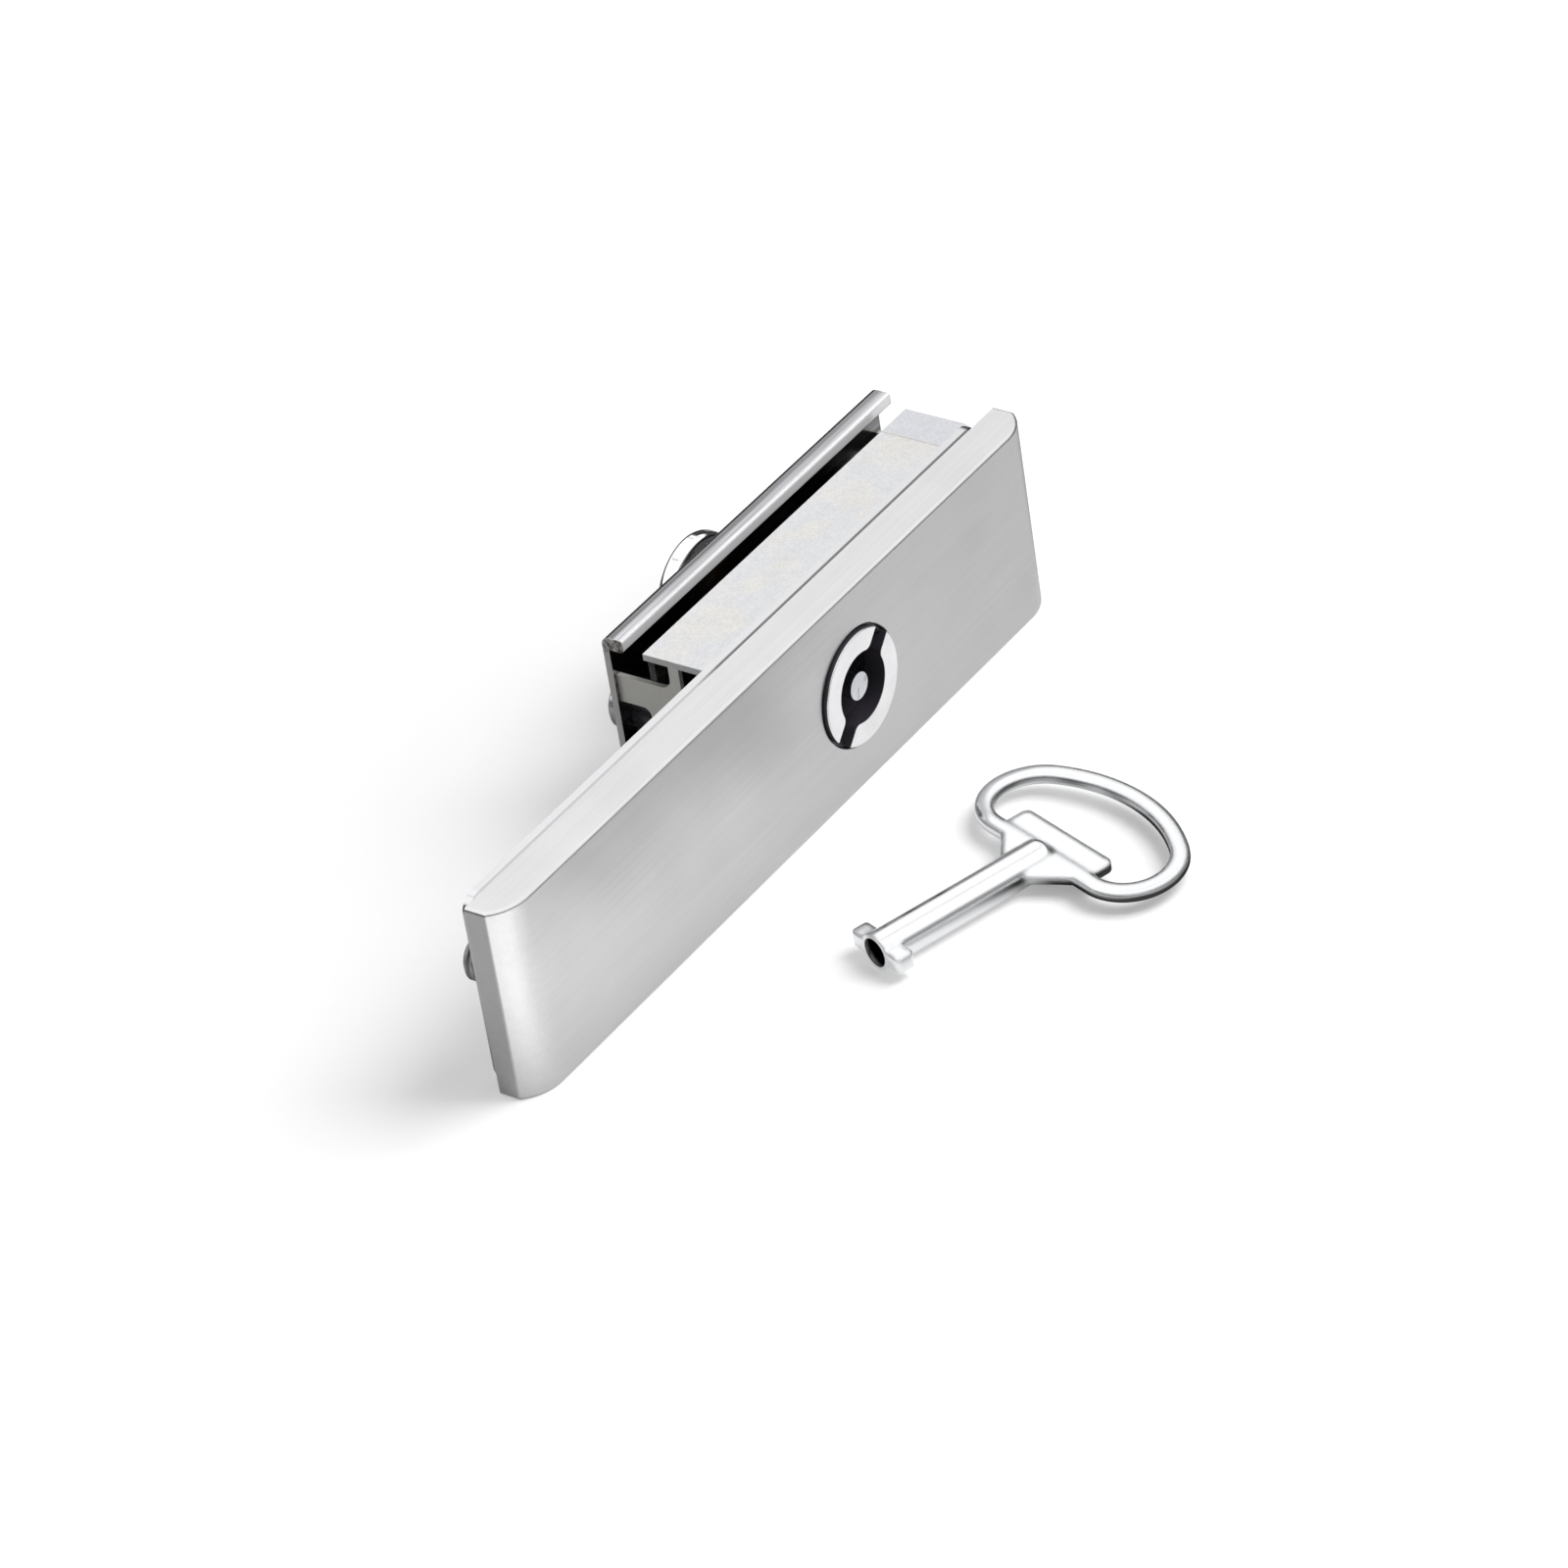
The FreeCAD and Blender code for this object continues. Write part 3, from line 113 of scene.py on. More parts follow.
class RodLockFinishes(bpy.types.PropertyGroup):
    """Colours of the metals and coatings."""

    stainless: colour_property(
        "Stainless", "Brushed stainless steel of the face plate", (0.56, 0.56, 0.565))
    bright_steel: colour_property(
        "Bright steel", "Bright base plate behind the face plate", (0.60, 0.60, 0.61))
    # On the bracket, this colour is the painted highlight along its front edge.
    chrome: colour_property(
        "Chrome", "Polished plating of the rod disc and the bracket's edges", (0.80, 0.80, 0.81))
    key_chrome: colour_property(
        "Key chrome", "Polished plating of the cast key", (0.665, 0.67, 0.68))
    zinc: colour_property(
        "Zinc", "Plating of the screws, washers and nut", (0.62, 0.63, 0.66))
    galvanised: colour_property(
        "Galvanised", "Coated sheet of the lock case, its cool patches", (0.645, 0.65, 0.665))
    galvanised_warm: colour_property(
        "Galvanised, warm", "Coated sheet of the lock case, its warm patches",
        (0.665, 0.653, 0.632))
    galvanised_end: colour_property(
        "Galvanised end", "Cooler band over the fold at the case's right end",
        (0.60, 0.61, 0.64))
    bracket: colour_property(
        "Bracket", "Streaked plating of the clamping bracket", (0.27, 0.27, 0.28))
    cut_end: colour_property(
        "Cut end", "Stained cut ends of the clamping bracket", (0.60, 0.58, 0.56))
    grey_sheet: colour_property(
        "Grey sheet", "End sheets of the lock case", (0.66, 0.655, 0.62))
    black: colour_property(
        "Black", "Blackened core, pillars and spacers", (0.034, 0.031, 0.038))
    cover_black: colour_property(
        "Cover black", "Worn blackening of the gear cover", (0.06, 0.058, 0.055))
    crescent: colour_property(
        "Crescent", "Ground crescents of the core face", (0.82, 0.82, 0.83))
    stud_steel: colour_property(
        "Stud steel", "Dull plating of the fixing stud", (0.40, 0.40, 0.415))
    # Painted shade: the bronze is made near black so that the bushes look dark in the shaded gap
    # where they sit.
    bronze: colour_property(
        "Bronze", "Sintered bearing bushes", (0.16, 0.10, 0.06))
    gear_steel: colour_property(
        "Gear steel", "Machined gears and spindle", (0.42, 0.42, 0.43))
    spring_steel: colour_property(
        "Spring steel", "Dark clips on core and spindle", (0.05, 0.05, 0.06))
    rubber: colour_property(
        "Rubber", "Ring that seals the core", (0.02, 0.02, 0.02))
    floor: colour_property(
        "Floor", "Plain pale surface that the lock stands on", (0.80, 0.80, 0.80))


class RodLockStudio(bpy.types.PropertyGroup):
    """Lamps and world."""

    overhead_power: FloatProperty(
        name="Overhead lamp", description="Power of the soft lamp above and in front of the lock",
        default=4.2, min=0.0, unit="POWER")
    ambient: FloatProperty(
        name="Ambient", description="Strength of the even light from all round",
        default=0.40, min=0.0)
    floor_glow: FloatProperty(
        name="Floor glow", description="What lifts the floor to white where it is seen directly",
        default=0.27, min=0.0)


# Small tools for node trees

def feed(tree, socket, value):
    """Link a socket to another socket, or give it a value."""
    if isinstance(value, bpy.types.NodeSocket):
        tree.links.new(value, socket)
    else:
        socket.default_value = value


def add_node(tree, kind, settings=(), **inputs):
    """A node with its settings and its inputs, each a value or a socket to link from.

    An input goes by its name, with underscores for spaces, or by its place as i0, i1, i2.
    """
    node = tree.nodes.new(kind)
    for name, value in dict(settings).items():
        setattr(node, name, value)
    for name, value in inputs.items():
        by_place = name[0] == "i" and name[1:].isdigit()
        feed(tree, node.inputs[int(name[1:]) if by_place else name.replace("_", " ")], value)
    return node


def maths(tree, operation, first, second=0.0):
    node = add_node(tree, "ShaderNodeMath", {"operation": operation}, i0=first, i1=second)
    return node.outputs[0]


def product(tree, *factors):
    """All factors multiplied."""
    result = factors[0]
    for factor in factors[1:]:
        result = maths(tree, "MULTIPLY", result, factor)
    return result


def rest_of(tree, value):
    """What is missing from a value to one."""
    return maths(tree, "SUBTRACT", 1.0, value)


def weighted(tree, share, first, second):
    """Two values added, the first with its share and the second with the rest of one."""
    return maths(tree, "ADD", maths(tree, "MULTIPLY", first, share),
                 maths(tree, "MULTIPLY", second, 1.0 - share))


def ramp(tree, value, low, high, low_value=0.0, high_value=1.0):
    """A value mapped from one range to another, and held beyond its ends."""
    node = add_node(tree, "ShaderNodeMapRange", (), Value=value, From_Min=low, From_Max=high,
                    To_Min=low_value, To_Max=high_value)
    return node.outputs["Result"]


def blend(tree, factor, low, high):
    """Low where the factor is zero and high where it is one."""
    return ramp(tree, factor, 0.0, 1.0, low, high)


def window(tree, value, rise, fall):
    """One between two slopes, each given by the places of its zero and its one."""
    return product(tree, ramp(tree, value, *rise), ramp(tree, value, *fall))


def vector_maths(tree, operation, output="Vector", **inputs):
    node = add_node(tree, "ShaderNodeVectorMath", {"operation": operation}, **inputs)
    return node.outputs[output]


def axis_of(tree, vector, axis):
    """One coordinate of a vector."""
    return add_node(tree, "ShaderNodeSeparateXYZ", (), Vector=vector).outputs[axis]


def scaled(tree, vector, gain):
    """A vector or colour, or the socket of one, times a gain."""
    source = vector if isinstance(vector, bpy.types.NodeSocket) else tuple(vector)
    return vector_maths(tree, "SCALE", i0=source, Scale=gain)


def shade(tree, colour, factor, amount):
    """A colour, made darker or lighter by a factor about one half."""
    return scaled(tree, colour, blend(tree, factor, 1.0 - amount, 1.0 + amount))


def mixed(tree, factor, low, high):
    """A colour between two others, each a colour or the socket of one."""
    low, high = (end if isinstance(end, bpy.types.NodeSocket) else (*end, 1.0)
                 for end in (low, high))
    node = add_node(tree, "ShaderNodeMix", {"data_type": "RGBA"}, i0=factor, i6=low, i7=high)
    return node.outputs[2]


def mixed_value(tree, factor, low, high):
    """A number between two others, each a number or the socket of one."""
    node = add_node(tree, "ShaderNodeMix", {"data_type": "FLOAT"}, i0=factor, i2=low, i3=high)
    return node.outputs[0]


def moved(tree, vector, **inputs):
    """A position put through a mapping, with its Scale or Location."""
    node = add_node(tree, "ShaderNodeMapping", {"vector_type": "POINT"}, Vector=vector, **inputs)
    return node.outputs["Vector"]


def noise(tree, vector, scale, detail=4.0, roughness=0.55):
    node = add_node(tree, "ShaderNodeTexNoise", {"noise_dimensions": "3D"}, Vector=vector,
                    Scale=scale, Detail=detail, Roughness=roughness)
    return node.outputs["Fac"]


def streaks(tree, vector, density, detail, roughness):
    """Noise drawn out along X: its density per metre along each axis."""
    return noise(tree, moved(tree, vector, Scale=density), 1.0, detail, roughness)


# Shared effects

def new_group(name, amount, outputs):
    """A node group with a Vector and one number going in, and numbers coming out."""
    group = bpy.data.node_groups.new(name, "ShaderNodeTree")
    group.interface.new_socket(name="Vector", in_out="INPUT", socket_type="NodeSocketVector")
    label, default = amount
    number = group.interface.new_socket(name=label, in_out="INPUT", socket_type="NodeSocketFloat")
    number.default_value = default
    for output in outputs:
        group.interface.new_socket(name=output, in_out="OUTPUT", socket_type="NodeSocketFloat")
    entry = group.nodes.new("NodeGroupInput")
    leave = group.nodes.new("NodeGroupOutput")
    return group, entry.outputs["Vector"], entry.outputs[label], leave.inputs


def brushed_grain_group():
    """Fine and coarse brush lines along X."""
    group, vector, fineness, leave = new_group("Brushed grain", ("Fineness", 1.0),
                                               ["Tone", "Height"])
    vector = scaled(group, vector, fineness)
    fine = streaks(group, vector, BRUSH_FINE, 3.0, 0.6)
    coarse = streaks(group, vector, BRUSH_COARSE, 4.0, 0.6)
    group.links.new(weighted(group, 0.6, fine, coarse), leave["Tone"])
    group.links.new(fine, leave["Height"])
    return group


def handling_group():
    """Soft smudges and fine scratches from use."""
    group, vector, size, leave = new_group("Handling marks", ("Size", 60.0),
                                           ["Smudge", "Scratch"])
    smudge = noise(group, vector, size, 5.0, 0.6)
    group.links.new(ramp(group, smudge, 0.35, 0.7), leave["Smudge"])
    lines = streaks(group, vector, SCRATCH_LINES, 2.0, 0.5)
    group.links.new(ramp(group, lines, 0.68, 0.76), leave["Scratch"])
    return group


def spangle_group():
    """The crystal pattern of a zinc coating."""
    group, vector, scale, leave = new_group("Zinc spangle", ("Scale", 420.0),
                                            ["Crystal", "Mottle"])
    cells = add_node(group, "ShaderNodeTexVoronoi", {"feature": "F1"}, Vector=vector, Scale=scale)
    split = add_node(group, "ShaderNodeSeparateColor", (), Color=cells.outputs["Color"])
    group.links.new(split.outputs[0], leave["Crystal"])
    mottle = noise(group, vector, 260.0, 6.0, 0.7)
    group.links.new(ramp(group, mottle, 0.3, 0.7), leave["Mottle"])
    return group


def turned_group():
    """Fine rings left by a lathe, about an axis along Y through the origin."""
    group, vector, pitch, leave = new_group("Turning rings", ("Pitch", 9000.0), ["Rings"])
    across, height = axis_of(group, vector, "X"), axis_of(group, vector, "Z")
    squares = maths(group, "ADD", product(group, across, across), product(group, height, height))
    wave = maths(group, "SINE", product(group, maths(group, "SQRT", squares), pitch))
    group.links.new(ramp(group, wave, -1.0, 1.0), leave["Rings"])
    return group


GROUP_MAKERS = {
    "Brushed grain": brushed_grain_group,
    "Handling marks": handling_group,
    "Zinc spangle": spangle_group,
    "Turning rings": turned_group,
}
GROUPS = {}


def effect(tree, name, **inputs):
    """The outputs of a shared effect, placed in a tree. Its group is built at first use."""
    if name not in GROUPS:
        GROUPS[name] = GROUP_MAKERS[name]()
    node = tree.nodes.new("ShaderNodeGroup")
    node.node_tree = GROUPS[name]
    for key, value in inputs.items():
        feed(tree, node.inputs[key], value)
    return node.outputs


# Materials

def new_material(name, metallic, specular=0.5):
    material = bpy.data.materials.new(name)
    material.use_nodes = True
    tree = material.node_tree
    shader = tree.nodes["Principled BSDF"]
    shader.inputs["Metallic"].default_value = metallic
    shader.inputs["Specular IOR Level"].default_value = specular
    place = tree.nodes.new("ShaderNodeTexCoord").outputs["Object"]
    return material, tree, shader, place


def wire(tree, shader, **varying):
    """Link varying values to the shader's inputs."""
    for name, value in varying.items():
        tree.links.new(value, shader.inputs[name.replace("_", " ")])


def bump(tree, shader, height, strength, distance=0.1 * MM, **base):
    """Relief from a height, on the surface's own normal or on the one given as Normal."""
    node = add_node(tree, "ShaderNodeBump", (), Height=height, Strength=strength,
                    Distance=distance, **base)
    wire(tree, shader, Normal=node.outputs["Normal"])


def facing_up(tree):
    """One on faces that look up, zero on upright ones."""
    normal = tree.nodes.new("ShaderNodeTexCoord").outputs["Normal"]
    return ramp(tree, axis_of(tree, normal, "Z"), 0.6, 0.95)


def brushed_metal(name, colour, roughness=0.34, depth=0.16, contrast=0.07, metallic=1.0,
                  clouds=0.0, top_light_gain=1.0):
    """Brushed sheet, with soft clouds of tone and painted light on its upward faces."""
    material, tree, shader, place = new_material(name, metallic)
    grain = effect(tree, "Brushed grain", Vector=place, Fineness=1.0)
    marks = effect(tree, "Handling marks", Vector=place, Size=45.0)
    cloud = ramp(tree, noise(tree, place, 19.0, 3.0, 0.55), 0.3, 0.7, 1.0 - clouds, 1.0 + clouds)
    # Painted light: faces that look up are made lighter by the top light gain.
    tone = product(tree, cloud, blend(tree, facing_up(tree), 1.0, top_light_gain))
    wire(tree, shader,
         Base_Color=scaled(tree, shade(tree, colour, grain["Tone"], contrast), tone),
         Roughness=blend(tree, marks["Smudge"], roughness - 0.04, roughness + 0.05))
    bump(tree, shader, grain["Height"], depth, 0.04 * MM)
    return material


def seam_shaded_metal(name, colour, seam_shade_back, case_left):
    """Bright steel, with painted shade in a narrow strip in front of a depth, strongest beside
    the case.
    """
    material, tree, shader, place = new_material(name, 1.0)
    grain = effect(tree, "Brushed grain", Vector=place, Fineness=1.0)
    # Painted shade: the base plate is darkened in a strip next to the face plate, most of all
    # beside the case.
    seam_shade = ramp(tree, axis_of(tree, place, "Y"), seam_shade_back + 0.10 * MM, seam_shade_back - 0.10 * MM)
    beside = ramp(tree, axis_of(tree, place, "X"), case_left - 6.0 * MM, case_left, 0.25, 0.75)
    tone = product(tree, rest_of(tree, product(tree, seam_shade, beside)),
                   blend(tree, grain["Tone"], 0.93, 1.07))
    wire(tree, shader, Base_Color=scaled(tree, colour, tone),
         Roughness=blend(tree, grain["Tone"], 0.18, 0.27))
    bump(tree, shader, grain["Height"], 0.08, 0.04 * MM)
    return material


def polished_metal(name, colour, roughness=0.06, smudges=0.05, scratches=0.10):
    """Polished plating, a little rougher where it is smudged or scratched."""
    material, tree, shader, place = new_material(name, 1.0)
    marks = effect(tree, "Handling marks", Vector=place, Size=70.0)
    worn = maths(tree, "ADD", product(tree, marks["Smudge"], smudges),
                 product(tree, marks["Scratch"], scratches))
    wire(tree, shader, Base_Color=shade(tree, colour, marks["Smudge"], 0.03),
         Roughness=maths(tree, "ADD", worn, roughness))
    bump(tree, shader, marks["Smudge"], 0.02)
    return material


def cast_chrome(name, colour, edge_radius, bore, roughness=0.05, smudges=0.05):
    """Polished plating over a casting with softly rounded edges.

    It has painted shade in its bore, and an uneven painted dark reflection along the upright
    sides of its bow.
    """
    material, tree, shader, place = new_material(name, 1.0)
    marks = effect(tree, "Handling marks", Vector=place, Size=70.0)
    axis = tuple(bore["axis"])
    wall, length = bore["dims"]["r_mm"] * MM, bore["dims"]["length_mm"] * MM
    from_mouth = vector_maths(tree, "SUBTRACT", i0=place, i1=tuple(bore["pos_m"]))
    off_axis = vector_maths(tree, "CROSS_PRODUCT", i0=from_mouth, i1=axis)
    radius = vector_maths(tree, "LENGTH", "Value", i0=off_axis)
    outward = vector_maths(tree, "DOT_PRODUCT", "Value", i0=from_mouth, i1=axis)
    past_end = ramp(tree, outward, -length - 0.6 * MM, -length - 0.8 * MM)
    past_wall = ramp(tree, radius, wall + 0.03 * MM, wall + 0.12 * MM)
    outside = maths(tree, "MAXIMUM", past_wall, past_end)
    rounded = add_node(tree, "ShaderNodeBevel", {"samples": 8}, Radius=edge_radius)
    tilt = axis_of(tree, rounded.outputs["Normal"], "Z")
    upright = window(tree, tilt, (0.62, 0.42), (-0.30, -0.10))
    bow = ramp(tree, outward, -KEY_BOW_START, -KEY_BOW_START - 4.0 * MM)
    uneven = ramp(tree, noise(tree, place, 75.0, 1.0, 0.5), 0.38, 0.58, 0.25, 1.0)
    painted_dark_sides = product(tree, upright, bow, uneven)
    # Painted shade and painted reflection: the colour is darkened in the bore and in uneven
    # patches along the bow's upright faces.
    painted_shade_gain = product(tree, blend(tree, outside, 0.12, 1.0), blend(tree, painted_dark_sides, 1.0, 0.18))
    wire(tree, shader,
         Base_Color=scaled(tree, shade(tree, colour, marks["Smudge"], 0.03), painted_shade_gain),
         Roughness=maths(tree, "ADD", product(tree, marks["Smudge"], smudges), roughness))
    bump(tree, shader, marks["Smudge"], 0.02, Normal=rounded.outputs["Normal"])
    return material


def zinc_plated(name, colour, scale=900.0, roughness=0.30, contrast=0.10):
    """Bright zinc with a fine crystal pattern."""
    material, tree, shader, place = new_material(name, 1.0)
    coat = effect(tree, "Zinc spangle", Vector=place, Scale=scale)
    tone = weighted(tree, 0.5, coat["Crystal"], coat["Mottle"])
    wire(tree, shader, Base_Color=shade(tree, colour, tone, contrast),
         Roughness=blend(tree, coat["Crystal"], roughness - 0.06, roughness + 0.08))
    bump(tree, shader, coat["Mottle"], 0.06)
    return material


def galvanised_sheet(name, cool, warm, band, band_start):
    """Zinc-coated sheet: speckle, soft cool and warm patches, and a cooler band past a fold, with
    painted shade along the fold.
    """
    material, tree, shader, place = new_material(name, 1.0)
    coat = effect(tree, "Zinc spangle", Vector=place, Scale=620.0)
    tone = weighted(tree, 0.35, coat["Crystal"], coat["Mottle"])
    patches = ramp(tree, noise(tree, place, 130.0, 3.0, 0.6), 0.44, 0.62)
    across = axis_of(tree, place, "X")
    past = ramp(tree, across, band_start, band_start + 0.3 * MM)
    tint = mixed(tree, past, mixed(tree, patches, cool, warm), band)
    # Painted shade: a thin strip along the fold is darkened.
    fold = band_start - 0.1 * MM
    fold_shade = window(tree, across, (fold - 0.25 * MM, fold), (fold + 0.25 * MM, fold))
    speckle = ramp(tree, noise(tree, place, SPECKLE, 2.0, 0.7), 0.3, 0.7, 0.90, 1.08)
    gain = product(tree, blend(tree, tone, 0.93, 1.07), speckle, blend(tree, fold_shade, 1.0, 0.72))
    wire(tree, shader, Base_Color=scaled(tree, tint, gain),
         Roughness=blend(tree, tone, 0.34, 0.46))
    bump(tree, shader, coat["Mottle"], 0.08)
    return material


def streaked_plating(name, colour, bright, cut, box):
    """Plating with long rolling streaks, a painted highlight along its front edge, painted light
    that fades towards the back, and stained cut ends.
    """
    material, tree, shader, place = new_material(name, 1.0)
    (left, front, _), (right, _, top) = box
    across, depth = axis_of(tree, place, "X"), axis_of(tree, place, "Y")
    height = maths(tree, "ABSOLUTE", axis_of(tree, place, "Z"))
    wide = streaks(tree, place, ROLLED_WIDE, 4.0, 0.6)
    fine = streaks(tree, place, ROLLED_FINE, 3.0, 0.6)
    streak = weighted(tree, 0.75, wide, fine)
    # Painted light: the plating is lighter towards its front edge.
    painted_front_light = ramp(tree, depth, front + 1.3 * MM, front + 2.1 * MM, 1.9, 0.9)
    contrast = ramp(tree, streak, 0.36, 0.64, 0.62, 1.45)
    body = scaled(tree, colour, product(tree, contrast, painted_front_light))
    # Painted highlight: the strip along the front edge is pale and barely metallic.
    lip_highlight = ramp(tree, depth, front + 0.5 * MM, front + 0.1 * MM)
    left_end = ramp(tree, across, left + 0.12 * MM, left + 0.04 * MM)
    right_end = ramp(tree, across, right - 0.12 * MM, right - 0.04 * MM)
    cut_face = maths(tree, "MAXIMUM", left_end, right_end)
    flange = ramp(tree, height, top - BRACKET_FLANGE, top - BRACKET_FLANGE + 0.8 * MM)
    spots = ramp(tree, noise(tree, place, 620.0, 5.0, 0.7), 0.40, 0.58, 0.12, 1.15)
    stained = scaled(tree, cut, mixed_value(tree, flange, 0.95, spots))
    glossy = ramp(tree, streak, 0.3, 0.7, 0.24, 0.12)
    wire(tree, shader,
         Base_Color=mixed(tree, cut_face, mixed(tree, lip_highlight, body, bright), stained),
         Metallic=blend(tree, maths(tree, "MAXIMUM", lip_highlight, cut_face), 1.0, 0.25),
         Roughness=maths(tree, "ADD", glossy, product(tree, cut_face, 0.3)))
    bump(tree, shader, streak, 0.08)
    return material


def ground_faces(name, dark, bright, front):
    """Blackened metal whose front faces, at a depth, are ground bright."""
    material, tree, shader, place = new_material(name, 0.0, specular=0.45)
    marks = effect(tree, "Handling marks", Vector=place, Size=160.0)
    ground = ramp(tree, axis_of(tree, place, "Y"), front + 0.16 * MM, front + 0.10 * MM)
    lit = shade(tree, bright, marks["Smudge"], 0.06)
    wire(tree, shader, Base_Color=mixed(tree, ground, dark, lit), Metallic=ground,
         Roughness=blend(tree, marks["Smudge"], 0.20, 0.26))
    bump(tree, shader, marks["Smudge"], 0.03)
    return material


def turned_metal(name, colour, centre_x=0.0, roughness=0.28):
    """Machined steel with turning rings about an axis along Y, and small dark pits."""
    material, tree, shader, place = new_material(name, 1.0)
    centred = moved(tree, place, Location=(-centre_x, 0.0, 0.0))
    rings = effect(tree, "Turning rings", Vector=centred, Pitch=26000.0)["Rings"]
    marks = effect(tree, "Handling marks", Vector=place, Size=120.0)
    pits = ramp(tree, noise(tree, place, 900.0, 3.0, 0.6), 0.56, 0.64, 1.0, 0.62)
    wire(tree, shader,
         Base_Color=scaled(tree, shade(tree, colour, marks["Smudge"], 0.10), pits),
         Roughness=blend(tree, rings, roughness - 0.05, roughness + 0.06))
    bump(tree, shader, rings, 0.05, 0.02 * MM)
    return material


def black_finish(name, colour, roughness=0.32, size=110.0, contrast=0.5):
    """Blackened metal with smudges of a given size per metre."""
    material, tree, shader, place = new_material(name, 0.0, specular=0.45)
    smudge = effect(tree, "Handling marks", Vector=place, Size=size)["Smudge"]
    wire(tree, shader, Base_Color=shade(tree, colour, smudge, contrast),
         Roughness=blend(tree, smudge, roughness - 0.08, roughness + 0.10))
    bump(tree, shader, noise(tree, place, SPECKLE, 2.0), 0.05)
    return material


def threaded_steel(name, colour, middle, thread_start, pitch=1.25 * MM, root_radius=3.4 * MM):
    """Plated steel with a helical thread about an axis along Y, behind a depth, with painted
    shade in its grooves.
    """
    material, tree, shader, place = new_material(name, 1.0)
    across = maths(tree, "SUBTRACT", axis_of(tree, place, "X"), middle[0])
    height = maths(tree, "SUBTRACT", axis_of(tree, place, "Z"), middle[1])
    depth = axis_of(tree, place, "Y")
    squares = maths(tree, "ADD", product(tree, across, across), product(tree, height, height))
    radius = maths(tree, "SQRT", squares)
    turn = maths(tree, "DIVIDE", maths(tree, "ARCTAN2", height, across), 2 * math.pi)
    phase = maths(tree, "ADD", maths(tree, "DIVIDE", depth, pitch), turn)
    crest = product(tree, maths(tree, "PINGPONG", phase, 0.5), 2.0)
    threaded = product(tree, ramp(tree, radius, root_radius, root_radius + 0.2 * MM),
                       ramp(tree, depth, thread_start, thread_start + 0.2 * MM))
    # The grooves give the relief, and they also darken the colour as painted shade.
    groove_relief_and_shade = product(tree, rest_of(tree, crest), threaded)
    smudge = effect(tree, "Handling marks", Vector=place, Size=240.0)["Smudge"]
    dulled = shade(tree, colour, smudge, 0.12)
    wire(tree, shader, Base_Color=scaled(tree, dulled, blend(tree, groove_relief_and_shade, 1.0, 0.45)),
         Roughness=blend(tree, smudge, 0.34, 0.46))
    bump(tree, shader, rest_of(tree, groove_relief_and_shade), 0.8, 0.5 * MM)
    return material


def sintered_bronze(name, colour):
    """Dull bronze with fine pores."""
    material, tree, shader, place = new_material(name, 1.0)
    pores = noise(tree, place, 3800.0, 3.0)
    wire(tree, shader, Base_Color=shade(tree, colour, pores, 0.25),
         Roughness=ramp(tree, pores, 0.3, 0.7, 0.38, 0.55))
    bump(tree, shader, pores, 0.12)
    return material


def matt_rubber(name, colour):
    """Matt rubber with a fine speckle."""
    material, tree, shader, place = new_material(name, 0.0, specular=0.3)
    speckle = noise(tree, place, 5200.0, 2.0)
    wire(tree, shader, Base_Color=shade(tree, colour, speckle, 0.3),
         Roughness=ramp(tree, speckle, 0.3, 0.7, 0.6, 0.8))
    return material


def finish(node_names, material):
    """Give CAD nodes a material, without touching their meshes."""
    for name in node_names:
        slots = NODES[name].material_slots
        if not slots:
            NODES[name].data.materials.append(material)
            continue
        for slot in slots:
            slot.material = material


# Pieces

class RODLOCK_OT_plates(bpy.types.Operator):
    """Brush the face plate and the bright base plate behind it"""

    bl_idname = "rod_lock.plates"
    bl_label = "Face and base plate"

    def execute(self, context):
        look = context.scene.rod_lock_finishes
        steel = brushed_metal("Brushed stainless", look.stainless, depth=0.24, contrast=0.15,
                              clouds=0.04, top_light_gain=1.13)
        finish(["face_plate"], steel)
        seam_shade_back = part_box("base_plate")[0][1] + SEAM_SHADE_DEPTH
        case_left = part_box("housing_channel")[0][0]
        seam_shaded = seam_shaded_metal("Bright steel", look.bright_steel, seam_shade_back, case_left)
        finish(["base_plate"], seam_shaded)
        return {"FINISHED"}


class RODLOCK_OT_key_core(bpy.types.Operator):
    """Finish the key core: black sleeve and barrel, ground face, turned pin"""

    bl_idname = "rod_lock.key_core"
    bl_label = "Key core"

    def execute(self, context):
        look = context.scene.rod_lock_finishes
        finish(["core_sleeve", "core_barrel"], black_finish("Black core", look.black))
        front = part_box("core_face")[0][1]
        finish(["core_face"], ground_faces("Ground core face", look.black, look.crescent, front))
        finish(["centre_pin"], turned_metal("Pin steel", look.zinc))
        finish(["core_o_ring"], matt_rubber("Ring rubber", look.rubber))
        finish(["sleeve_nut"], zinc_plated("Nut zinc", look.zinc))
        spring = black_finish("Spring steel", look.spring_steel, 0.3)
        finish(["core_circlip", "spindle_circlip"], spring)
        return {"FINISHED"}


class RODLOCK_OT_case(bpy.types.Operator):
    """Finish the folded case, its end sheets, the black gear cover and the clamp's tubes"""

    bl_idname = "rod_lock.case"
    bl_label = "Lock case"

    def execute(self, context):
        look = context.scene.rod_lock_finishes
        band_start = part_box("housing_channel")[1][0] - CASE_BAND_WIDTH
        sheet = galvanised_sheet("Galvanised sheet", look.galvanised, look.galvanised_warm,
                                 look.galvanised_end, band_start)
        finish(["housing_channel"], sheet)
        grey = brushed_metal("Grey sheet", look.grey_sheet, roughness=0.42, depth=0.06,
                             metallic=0.45)
        finish(["end_plate_left", "end_plate_right"], grey)
        finish(["gear_cover"], black_finish("Black cover", look.cover_black, 0.4, 420.0, 0.9))
        finish(["pillars", "spacers"], black_finish("Black tube", look.black, 0.3))
        return {"FINISHED"}


